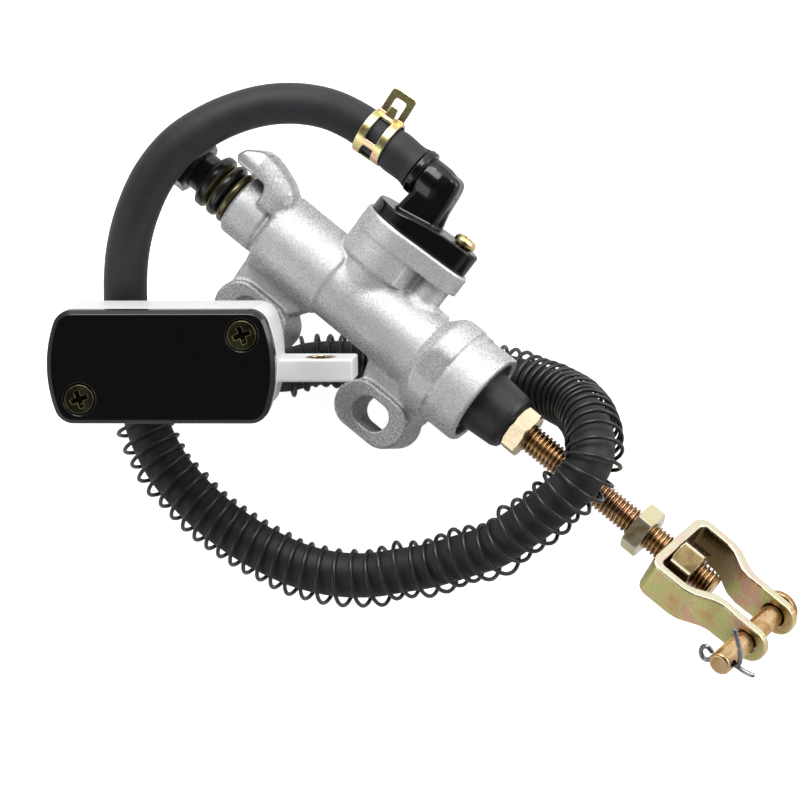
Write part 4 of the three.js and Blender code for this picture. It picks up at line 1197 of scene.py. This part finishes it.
def internals():
    fit(lathe("plunger", PLUNGER), "piston", "piston", "anodised_aluminium")
    ob = lathe("plunger_cup", PLUNGER_CUP, closed=True)
    fit(ob, "piston", "primary_cup", "seal_rubber")
    ob = lathe("plunger_seal", PLUNGER_SEAL, closed=True)
    fit(ob, "piston", "secondary_seal", "seal_rubber")
    bore_spring()
    ob = lathe("bore_washer", BORE_WASHER, closed=True)
    fit(ob, "cylinder", "stop_washer", "plain_steel")
    bore_clip()
    ob = lathe("rod_boot", ROD_BOOT, closed=True, segments=128, corner_steps=6)
    fit(ob, "cylinder", "dust_boot", "boot_rubber")
    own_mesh(ob)


# ---------------------------------------------------------------- push rod and nuts
def thread_rings(x0, x1, fade0, fade1, depth=0.56, pitch=1.0, per_turn=18):
    """A helical thread as rings whose radius follows the angle, fading at both ends."""

    def radius(x, strength):
        def at(angle):
            phase = (x / pitch - angle / (2 * pi)) % 1.0
            rise = np.clip((np.abs(phase - 0.5) * 2 - 0.10) / 0.78, 0, 1)
            return ROD_R - depth * (1 - rise * rise * (3 - 2 * rise)) * strength

        return at

    n = int(round((x1 - x0) * per_turn / pitch))
    stations = [x0 + (x1 - x0) * i / n for i in range(n + 1)]
    return [
        (x, radius(x, max(min(1.0, (x - x0) / fade0, (x1 - x) / fade1), 0.0))) for x in stations
    ]


def push_rod():
    rings = [(BALL_X - BALL_R, 0)]
    for angle in range(10, 131, 8):
        rings.append((BALL_X - BALL_R * cos(angle * DEG), BALL_R * sin(angle * DEG)))
    rings += [
        (22.62, 2.6), (22.75, 2.65), (22.75, 4.3), (22.9, 4.5), (23.6, 4.5), (23.75, 4.3),
        (23.75, 2.62), (23.9, 2.6), (28.0, 2.6), (28.6, 2.98), (44.35, 2.98),
    ]
    rings += hex_rings(44.35, 47.9, corners=11.0, degrees=16, chamfer=0.5)
    rings += [(47.9, 3.05), (48.0, 2.98)]
    rings += thread_rings(48.05, 97.9, fade0=0.7, fade1=0.2)
    rings += [(98.0, 2.65), (98.4, 2.3), (98.4, 0)]
    fit(ringed("rod", rings, phase=16), "push_rod", "push_rod", "gold_zinc")


def nut(name, x0, x1, corners, degrees, place=None):
    rings = hex_rings(x0, x1, corners, degrees, chamfer=0.5)
    hole, lead = ROD_R + 0.12, 0.35
    rings += [(x1, hole + lead), (x1 - lead, hole), (x0 + lead, hole), (x0, hole + lead)]
    return ringed(name, rings, phase=degrees, closed=True, place=place)


def rod_and_nuts():
    push_rod()
    ob = nut("check_nut", 77.2, 81.0, corners=11.4, degrees=5)
    fit(ob, "lock_nut", "lock_nut", "pale_zinc")
    ob = nut("yoke_nut", 88.1, 93.6, corners=10.4, degrees=30, place=CLEVIS)
    # the clevis nut is pale_zinc, drawn darker with painted shade
    fit(ob, "clevis", "clevis_nut", "pale_zinc", "shaded_zinc")


# ---------------------------------------------------------------- clevis and its pins
def yoke():
    """A bent strap: wide round the nut, narrower at the pin, rounded at its +X tips."""
    wide, narrow, thick, half_width = 10.5, 6.8, 2.0, 4.25
    outer = [
        (85.8, wide - 2.4), (86.5, wide - 0.9), (88.0, wide), (95.0, wide), (97.2, wide - 0.5),
        (101.2, narrow + 0.7), (103.2, narrow), (117.5, narrow),
    ]
    inner = [
        (117.5, narrow - thick), (102.8, narrow - thick), (100.2, narrow - thick + 0.6),
        (96.2, wide - thick - 0.4), (94.6, wide - thick), (88.8, wide - thick),
        (88.1, wide - thick - 0.4), (87.8, wide - thick - 1.1),
    ]
    half = outer + inner
    strap = Outline(half + [(x, -y) for x, y in half[::-1]], step=0.05, blur=0.3)

    def solid(x, y, z):
        d = both(strap(x, y), np.abs(z) - half_width, 0.42)
        tip = hypot(maximum(x - (PIN_X + 0.75), 0), z) - half_width
        d = both(d, np.where(x > 106, tip, -5).astype(f32), 0.42)
        d = cut(d, both(hypot(y, z) - 3.4, x - 89), 0.2)
        return cut(d, hypot(x - PIN_X, z) - (PIN_R + 0.2), 0.25)

    # mask of the strap's edge faces, where the rim colour paints a highlight
    def edge(x, y, z):
        return np.clip((np.abs(z) - (half_width - 0.4)) / 0.3, 0, 1)

    # mask of the strap's inside, where the hollow colour paints shade
    def inside(x, y, z):
        middle = np.interp(x, [88, 95.5, 102, 103], [9.5, 9.4, 6.1, 5.8])
        within = np.clip((middle - np.abs(y)) / 0.5, 0, 1) * np.clip((x - 86.9) / 0.3, 0, 1)
        fade = np.interp(x, [95, 105], [1.0, 0.0])
        return within * fade * np.clip((half_width - 0.1 - np.abs(z)) / 0.3, 0, 1)

    low, high = (85.8, -wide, -half_width), (116.1, wide, half_width)
    attributes = {"edge": edge, "inside": inside}
    ob = field("yoke", solid, low, high, 0.16, CLEVIS, attributes)
    fit(ob, "clevis", "clevis", "yellow_zinc")


def yoke_pin():
    pin = turning(
        [(-17.0, 0), (-17.0, PIN_R - 0.4), (-16.6, PIN_R), (7.1, PIN_R), (7.1, 4.1), (8.3, 4.1),
         (9.1, 3.4), (9.55, 2.0), (9.7, 0)],
        step=0.04,
        blur=0.16,
    )

    def solid(x, y, z):
        across = spun(z, x, SPLIT_PIN_TURN)[0]
        return cut(pin(y, hypot(x, z)), hypot(y - SPLIT_PIN_Y, across) - 0.95, 0.12)

    low, high = (-4.1, -17.0, -4.1), (4.1, 9.7, 4.1)
    ob = field("yoke_pin", solid, low, high, 0.14, CLEVIS @ shift(PIN_X, 0, 0))
    fit(ob, "clevis_pin", "clevis_pin", "gold_zinc")


def split_pin():
    wires = [
        curve(points, n)
        for points, n in (
            ([(-0.25, 0, 0), (1.6, 0, 0), (2.5, 0, 0.15), (3.1, 0, 0.95), (3.9, 0, 1.6),
              (5.0, 0, 1.35), (5.5, 0, 0), (5.0, 0, -1.35), (3.9, 0, -1.6), (3.0, 0, -0.95)], 34),
            ([(0.2, 0, 0), (-1.6, 0, 0), (-2.9, 0, -0.1), (-3.75, 0, -1.0), (-3.5, 0, -3.6),
              (-2.8, 0, -6.2), (-1.9, 0, -8.4)], 22),
            ([(0.2, 0, 0), (-1.6, 0, 0), (-2.9, 0, 0.1), (-4.4, 0, 0.55), (-5.8, 0, 0.8),
              (-7.0, 0, 0.8)], 18),
        )
    ]

    def solid(x, y, z):
        eye, *legs = (broken_line(x, y, z, wire) for wire in wires)
        for leg in legs:
            eye = minimum(eye, leg)
        return eye - 0.5

    place = CLEVIS @ shift(PIN_X, SPLIT_PIN_Y, 0) @ turn(2, 0, SPLIT_PIN_TURN)
    ob = field("split_pin", solid, (-7.5, -0.5, -8.9), (7.0, 0.5, 2.4), 0.11, place)
    fit(ob, "clevis_pin", "cotter_pin", "plain_steel")


# ---------------------------------------------------------------- reservoir
def bowl_outline(length, width, inset=0.0, corner=4.1, step=0.1):
    """Straight along X, with bulging ends and rounded corners."""
    half, side, r = length / 2 - inset, width / 2 - inset, corner - inset
    bulge = 2.75 * (side / 12) ** 2
    end_r = (side * side + bulge * bulge) / (2 * bulge)
    end_x = half - end_r
    corner_x, corner_y = end_x + sqrt((end_r - r) ** 2 - (side - r) ** 2), side - r
    phi = atan2(corner_y, corner_x - end_x)
    points = []
    for x, y, radius, angles in (
        (corner_x, -corner_y, r, np.linspace(-pi / 2, -phi, 14)),
        (end_x, 0, end_r, np.linspace(-phi, phi, 26)[1:-1]),
        (corner_x, corner_y, r, np.linspace(phi, pi / 2, 14)),
    ):
        points += [(x + radius * cos(a), y + radius * sin(a)) for a in angles]
    return Outline(points + [(-x, -y) for x, y in points], step, margin=3)


def bowl():
    wall = bowl_outline(BOWL_LENGTH - 1.2, BOWL_WIDTH - 1.2)
    rim = bowl_outline(BOWL_LENGTH, BOWL_WIDTH)
    hollow = bowl_outline(BOWL_LENGTH - 4.6, BOWL_WIDTH - 4.6)
    nipple = turning(
        [(NIPPLE_TIP, 0), (NIPPLE_TIP, 2.6), (NIPPLE_TIP + 1.1, 3.25), (NIPPLE_TIP + 2.6, 3.25),
         (NIPPLE_TIP + 2.6, 2.95), (-24.2, 2.95), (-23.8, 4.4), (-21.6, 4.8), (-21.6, 0)],
        blur=0.08,
    )
    post_z, post_top = -14, BOWL_RIM_Z - 0.1

    def solid(x, y, z):
        d = both(wall(x, y), slab(z, -BOWL_DEPTH, BOWL_RIM_Z), 1.0)
        d = join(d, both(rim(x, y), slab(z, BOWL_RIM_Z - 2.4, BOWL_RIM_Z), 0.35), 0.4)
        d = cut(d, both(hollow(x, y), -BOWL_DEPTH + 1.8 - z, 1.0), 0.2)
        # screw posts, each with a block tying it to the wall
        posts = []
        for sx, sy in LID_SCREWS:
            posts.append(both(circle(x, y, 2.6, sx, sy), slab(z, post_z, post_top), 0.15))
            near, far = sorted((sy * 1.2, sy * 1.5))
            low, high = (sx - 1.4, near, post_z), (sx + 1.4, far, post_top)
            posts.append(box(x, y, z, low, high, 0.2))
        d = join(d, np.minimum.reduce(posts), 0.5)
        # mounting tab
        d = join(d, box(x, y, z, (22.0, -4.6, -19.6), (38.9, 0.2, -10.2), 0.45), 0.7)
        d = cut(d, both(circle(x, z, 3.3, BUSH_X, BUSH_Z), slab(y, -6, 2)), 0.25)
        r = hypot(x - NIPPLE_X, y - NIPPLE_Y)
        d = join(d, nipple(z, r), 0.5)
        d = cut(d, both(r - 1.9, slab(z, NIPPLE_TIP - 1, -19)), 0.15)
        for sx, sy in LID_SCREWS:
            d = cut(d, both(circle(x, y, 1.75, sx, sy), -13 - z), 0.1)
        return d

    low, high = (-23.8, -11.7, NIPPLE_TIP), (38.9, 11.7, BOWL_RIM_Z)
    ob = field("bowl", solid, low, high, 0.3, BOWL)
    fit(ob, "cylinder", "reservoir_body", "milky_plastic")
    profile = [(-4.5, 2.35, 0.25), (0.1, 2.35, 0.25), (0.1, 3.05, 0.15), (-4.5, 3.05, 0.15)]
    place = BOWL @ shift(BUSH_X, 0, BUSH_Z) @ ALONG_Y
    ob = lathe("bracket_bush", profile, closed=True, place=place)
    fit(ob, "cylinder", "mount_bushing", "brass")


def bellows():
    """A flat gasket with a hollow bell hanging from it."""
    gasket = bowl_outline(BOWL_LENGTH - 1.4, BOWL_WIDTH - 1.4)
    bell = bowl_outline(BOWL_LENGTH - 15.7, BOWL_WIDTH - 8.2, 0.2, 6.6)
    hollow = bowl_outline(BOWL_LENGTH - 18.2, BOWL_WIDTH - 10.7, 0.2, 5.4)
    bottom = BOWL_RIM_Z - 3.6

    def solid(x, y, z):
        flat = both(gasket(x, y), slab(z, BOWL_RIM_Z + 0.15, -LID_HEIGHT - 0.15), 0.3)
        d = join(flat, both(bell(x, y), slab(z, bottom, BOWL_RIM_Z + 0.4), 0.9), 0.5)
        d = cut(d, both(hollow(x, y), BOWL_RIM_Z - 2.6 - z, 0.8), 0.3)
        for sx, sy in LID_SCREWS:
            d = cut(d, circle(x, y, 2.2, sx, sy), 0.1)
        return d

    low, high = (-23.2, -11.1, bottom), (23.2, 11.1, -LID_HEIGHT)
    ob = field("bellows", solid, low, high, 0.28, BOWL)
    fit(ob, "reservoir_cap", "diaphragm", "seal_rubber")


def lid():
    outline = bowl_outline(BOWL_LENGTH + 0.4, BOWL_WIDTH + 0.4, step=0.08)

    def solid(x, y, z):
        side = outline(x, y)
        d = both(side, slab(z, -LID_HEIGHT, 0.0), 0.28)
        # bevel round the top edge
        d = maximum(d, (side + z) * f32(0.7071) + f32(0.62))
        low, high = (-15, -5.6, -LID_HEIGHT - 1), (15, 5.6, -LID_HEIGHT + 0.8)
        d = cut(d, box(x, y, z, low, high, 0.6), 0.2)
        for sx, sy in LID_SCREWS:
            countersink = (circle(x, y, 1.85, sx, sy) - maximum(z + 2.3, 0) * 0.72) * 0.8
            d = cut(d, countersink, 0.1)
        return d

    ob = field("lid", solid, (-24, -11.9, -LID_HEIGHT), (24, 11.9, 0), 0.2, BOWL)
    fit(ob, "reservoir_cap", "reservoir_cap", "black_plastic")


def lid_screws():
    head = turning(
        [(-12.2, 0), (-12.2, 1.1), (-11.6, 1.5), (-2.05, 1.5), (-0.1, 3.1), (0.05, 3.05),
         (0.05, 0)],
        step=0.04,
        blur=0.06,
    )

    def solid(x, y, z):
        u, w = spun(x, y, 20)
        rise = maximum(z + 1.1, 0)
        recess = cross(u, w, 1.25 + rise * 0.6, 0.36 + rise * 0.14)
        recess = minimum(recess, hypot(u, w) - 0.75)
        return cut(head(z, hypot(x, y)), both(recess, -1.25 - z, 0.1), 0.08)

    low, high = (-3.1, -3.1, -12.2), (3.1, 3.1, 0.05)
    for i, (sx, sy) in enumerate(LID_SCREWS, 1):
        ob = field("lid_screw_%d" % i, solid, low, high, 0.13, BOWL @ shift(sx, sy, 0))
        fit(ob, "reservoir_cap", "cap_screw_%d" % i, "olive_zinc")


# ---------------------------------------------------------------- hose, guard coil, clamps
# Hose centre line: (x) on the spigot axis; (right, across, back) on the oblique axes;
# then (right, across, height along Z).
SPIGOT_COURSE = (-6.0, -10, -14, -18.6)
OPEN_COURSE = [
    (-1.0, 37.2, 1.2), (-5.8, 39.2, 2.0), (-11.6, 40.2, 2.8), (-17.9, 40.0, 3.4),
    (-24.2, 38.5, 3.7), (-30.5, 35.8, 3.7), (-36.8, 31.6, 3.6), (-42.1, 25.3, 2.4),
    (-45.7, 17.9, 0.2), (-47.8, 10.5, -3.2), (-48.6, 3.2, -6.6), (-48.4, -5.0, -9.3),
    (-47.2, -14.0, -10.8), (-45.0, -23.0, -11.2), (-43.8, -28.2, -11.0), (-40.0, -35.8, -9.6),
    (-35.8, -41.0, -8.2), (-30.5, -46.1, -6.6), (-24.2, -50.7, -5.0), (-17.9, -54.3, -3.5),
    (-11.6, -57.0, -2.0), (-4.2, -58.7, -0.2), (3.2, -58.9, 1.8), (9.5, -57.9, 4.0),
    (15.8, -56.8, 6.2), (22.1, -54.9, 9.4), (29.5, -52.4, 13.4), (33.7, -49.5, 16.4),
    (38.9, -45.7, 19.8), (43.2, -41.9, 22.2), (46.6, -38.8, 23.3), (48.9, -35.2, 23.2),
    (49.5, -31.6, 21.2), (48.7, -27.2, 14.8), (46.4, -23.6, 6.0), (42.6, -21.0, -1.6),
    (37.9, -19.0, -7.0), (33.0, -17.4, -10.3),
]
LOW_Z = -18.9
LOW_COURSE = [
    (27.0, -16.4, -18.6), (20.0, -16.0, LOW_Z), (9.5, -14.7, LOW_Z), (2.5, -14.3, LOW_Z),
    (-4.0, -14.1, LOW_Z), (-9.5, -14.4, LOW_Z + 0.3), (-14.6, -15.6, LOW_Z + 1.6),
]


def course_points():
    points = [np.array((x, SPIGOT_Y, 0)) for x in SPIGOT_COURSE]
    low = [(a, b, (z - VIEW_RIGHT[2] * a) / VIEW_BACK[2]) for a, b, z in LOW_COURSE]
    for a, b, c in OPEN_COURSE + low:
        points.append(VIEW_RIGHT * a + HOSE_ACROSS * b + VIEW_BACK * c)
    return points


def swell(position, centre, width):
    return np.exp(-(((position - centre) / width) ** 2))


def onset(position, centre, width):
    return 1 / (1 + np.exp(-(position - centre) / width))


def hose():
    free = course_points()
    points = free + [NIPPLE_ROOT + NIPPLE_DIR * k for k in (15.5, 10.5, 5.5, 0.4)]
    per_span = 60
    dense = curve(points, per_span * (len(points) - 1) + 1)
    line, position = even(dense, 0.45)
    total = position[-1]
    r = np.interp(
        position,
        [0, 11, 16, 42, 62, 92, 120, 165, 200, total],
        [4.5, 4.5, 4.36, 4.36, 4.58, 4.62, 4.74, 4.74, 4.66, 4.66],
    )
    # flared ends, the bulge over the spigot's barb, and the waists under the clamps
    r += 0.35 * swell(position, 0, 0.8)
    r += 0.16 * swell(position, 5.2, 1.6)
    r -= 0.2 * (onset(position, 7.4, 0.4) - onset(position, 13.6, 0.4))
    left = total - position
    r += 0.35 * swell(left, 0, 0.8)
    r -= 0.2 * (onset(left, 3.8, 0.45) - onset(left, 10.8, 0.45))
    ob = tube("feed_hose", line, r, sides=56, inner=3.45)
    fit(ob, "cylinder", "fluid_hose", "hose_rubber")

    stations = lengths(dense)
    start, end = (stations[int(round(k * per_span))] for k in (16.6, len(free) - 0.8))
    guard_coil(line, position, start, end)


def guard_coil(line, position, start, end):
    """A wire wound round the hose, hanging to the outside of each bend."""
    turns, radius, hang, full_bend = 77, 5.8, 0.78, 0.03
    t = np.linspace(0, 1, turns * 36 + 1)
    # closeness of the turns along the coil
    density = np.interp(
        t, [0, 0.2, 0.3, 0.5, 0.56, 0.8, 0.9, 1], [1.12, 1.1, 0.95, 0.92, 1.3, 1.4, 1.15, 1.4]
    )
    wound = np.cumsum(density)
    wound = (wound - wound[0]) / (wound[-1] - wound[0])
    at = start + (end - start) * t
    centre = along(at, position, line)
    behind = along(maximum(at - 3, 0), position, line)
    ahead = along(minimum(at + 3, position[-1]), position, line)
    bend = (behind + ahead - 2 * centre) / 9
    amount = np.linalg.norm(bend, axis=1)
    offset = hang * minimum(amount / full_bend, 1) / maximum(amount, 1e-6)
    centre = centre - bend * offset[:, None]
    normals, across = (along(at, position, rows) for rows in transport(line)[1:])
    normals /= np.linalg.norm(normals, axis=1)[:, None]
    across /= np.linalg.norm(across, axis=1)[:, None]
    # the pitch wanders a little from turn to turn
    angle = 2 * pi * turns * wound + 0.5 * np.sin(2 * pi * 5.3 * t)
    angle = angle + 0.3 * np.sin(2 * pi * 11.7 * t + 1.0)
    r = np.interp(t, [0, 0.85, 0.92, 1], [radius, radius, 5.45, 5.3])
    wire = centre + normals * (r * np.cos(angle))[:, None]
    wire = wire + across * (r * np.sin(angle))[:, None]
    ob = tube("guard_coil", even(wire, 0.6)[0], 0.44, sides=10)
    fit(ob, "cylinder", "hose_guard_coil", "black_wire")


def clamp(name, node, place, radius):
    """A windowed band about X, with a pierced loop and a tongue standing out to +Y."""
    half, thick = 3.3, 0.6
    side = half - 0.3
    window, tongue, loop, hole = (
        Outline(points, step=0.05, blur=blur)
        for blur, points in (
            (0.12, [(-1.9, -5.2), (-1.0, -2.6), (1.4, -2.6), (1.4, -5.2)]),
            (0.15, [(-1.2, radius - 0.1), (1.2, radius - 0.1), (0.85, radius + 2.9),
                    (-0.85, radius + 2.9)]),
            (0.45, [(-side, radius - 0.6), (side, radius - 0.6), (side, radius + 6.4),
                    (-side, radius + 6.4)]),
            (0.3, [(-1.4, radius + 0.5), (1.4, radius + 0.5), (1.4, radius + 4.6),
                   (-1.4, radius + 4.6)]),
        )
    )

    def solid(x, y, z):
        shell = np.abs(hypot(y, z) - (radius + thick / 2)) - thick / 2
        band = both(shell, np.abs(x) - half, 0.16)
        band = cut(band, both(both(slab(x, -1.45, 1.45), -1.2 - y, 0.4), 2.5 - z), 0.12)
        band = cut(band, both(window(x, y), 0.5 - z), 0.12)
        ear = cut(both(loop(x, y), slab(z, -0.3, 0.3), 0.14), hole(x, y), 0.14)
        ear = both(ear, radius - y)
        tab = both(both(tongue(x, y), slab(z, 1.5, 2.1), 0.14), radius - 0.35 - y)
        return join(join(band, ear, 0.4), tab, 0.3)

    outer = radius + thick
    ob = field(name, solid, (-half, -outer, -outer), (half, radius + 6.4, outer), 0.14, place)
    fit(ob, "cylinder", node, "yellow_zinc")


def clamps():
    place = shift(-16.6, SPIGOT_Y, 0) @ turn(0, 1, 5)
    clamp("elbow_clamp", "elbow_hose_clamp", place, HOSE_R - 0.05)
    loop_dir = unit(-0.5 * BOWL_X - 0.866 * BOWL_Y)
    side = unit(np.cross(NIPPLE_DIR, loop_dir))
    place = axes_at(NIPPLE_ROOT + NIPPLE_DIR * 7.6, NIPPLE_DIR, loop_dir, side)
    clamp("bowl_clamp", "reservoir_hose_clamp", place, HOSE_R + 0.35)


# ---------------------------------------------------------------- stage: floor, camera, lights
def floor():
    half, z = 4, -14.2 * MM
    mesh = bpy.data.meshes.new("floor")
    corners = [(-half, -half, z), (half, -half, z), (half, half, z), (-half, half, z)]
    mesh.from_pydata(corners, [], [(0, 1, 2, 3)])
    ob = bpy.data.objects.new("floor", mesh)
    bpy.context.scene.collection.objects.link(ob)
    # glows only to the camera, so it stays pale without lighting the product
    fin = Finish("floor_paper")
    seen = fin.node("LightPath").outputs["Is Camera Ray"]
    fin.surface(
        Base_Color=(0.86, 0.86, 0.86, 1),
        Roughness=0.9,
        Emission_Color=(1, 1, 1, 1),
        Emission_Strength=fin.times(seen, 0.84),
    )
    mesh.materials.append(FINISHES["floor_paper"])


def camera(target, right, up, back):
    """A long lens 1.5 m from the target."""
    lens = bpy.data.cameras.new("camera")
    lens.sensor_width = 36
    lens.lens = 320.6
    lens.clip_start, lens.clip_end = 0.1, 20
    ob = bpy.data.objects.new("camera", lens)
    bpy.context.scene.collection.objects.link(ob)
    rotation = Matrix((right, up, back)).transposed().to_4x4()
    ob.matrix_world = Matrix.Translation(target + back * 1.5) @ rotation
    bpy.context.scene.camera = ob


def area_light(name, target, direction, size, power, distance=0.9):
    light = bpy.data.lights.new(name, "AREA")
    light.shape = "RECTANGLE"
    light.size = light.size_y = size
    light.energy = power
    ob = bpy.data.objects.new(name, light)
    bpy.context.scene.collection.objects.link(ob)
    ob.location = target + direction * distance
    ob.rotation_mode = "QUATERNION"
    ob.rotation_quaternion = direction.to_track_quat("Z", "Y")


def room(back):
    """A soft grey world, darker towards the camera and brighter towards +Y."""
    world = bpy.data.worlds.new("room")
    bpy.context.scene.world = world
    world.use_nodes = True
    tree = world.node_tree
    tree.nodes.clear()
    ray = add_node(tree, "TexCoord").outputs["Generated"]

    def towards(direction):
        inputs = {0: ray, 1: tuple(direction)}
        return add_node(tree, "VectorMath", inputs, operation="DOT_PRODUCT").outputs["Value"]

    ramp = add_node(tree, "ValToRGB", {0: towards(back)})
    elements = ramp.color_ramp.elements
    elements[0].position, elements[0].color = 0.0, (0.62, 0.62, 0.63, 1)
    elements[1].position, elements[1].color = 1.0, (0.035, 0.035, 0.037, 1)
    elements.new(0.55).color = (0.70, 0.70, 0.71, 1)
    elements.new(0.85).color = (0.12, 0.12, 0.125, 1)
    # strength rises from 0.72 to 2.0
    inputs = {0: towards(Vector((0.0, 1.0, 0.12)).normalized()), 1: 0.0, 2: 0.85, 3: 0.72, 4: 2.0}
    strength = add_node(tree, "MapRange", inputs, interpolation_type="SMOOTHSTEP").outputs[0]
    background = add_node(tree, "Background", {0: ramp.outputs[0], 1: strength})
    add_node(tree, "OutputWorld", {0: background.outputs[0]})


def stage():
    floor()
    back = Vector(VIEW_BACK).normalized()
    right = Vector(VIEW_RIGHT)
    right = (right - back * right.dot(back)).normalized()
    up = back.cross(right)
    target = Vector((29.72, 5.62, 9.20)) * MM
    camera(target, right, up, back)
    # direction is in the camera's right, up and back axes
    for name, direction, size, power in (
        ("key", (-0.15, 0.95, 0.75), 0.5, 4.6),
        ("fill", (0.95, 0.35, 0.45), 0.45, 2.0),
        ("low", (-0.9, -0.35, 0.45), 0.5, 0.9),
    ):
        aim = (right * direction[0] + up * direction[1] + back * direction[2]).normalized()
        area_light(name, target, aim, size, power)
    room(back)
    view = bpy.context.scene.view_settings
    view.view_transform = "Standard"
    view.look = "None"
    view.exposure = 0.0


build_finishes()
for build in (
    casting, elbow, flange_screw, bolt_and_washers, internals, rod_and_nuts, yoke, yoke_pin,
    split_pin, bowl, bellows, lid, lid_screws, hose, clamps, stage,
):
    build()
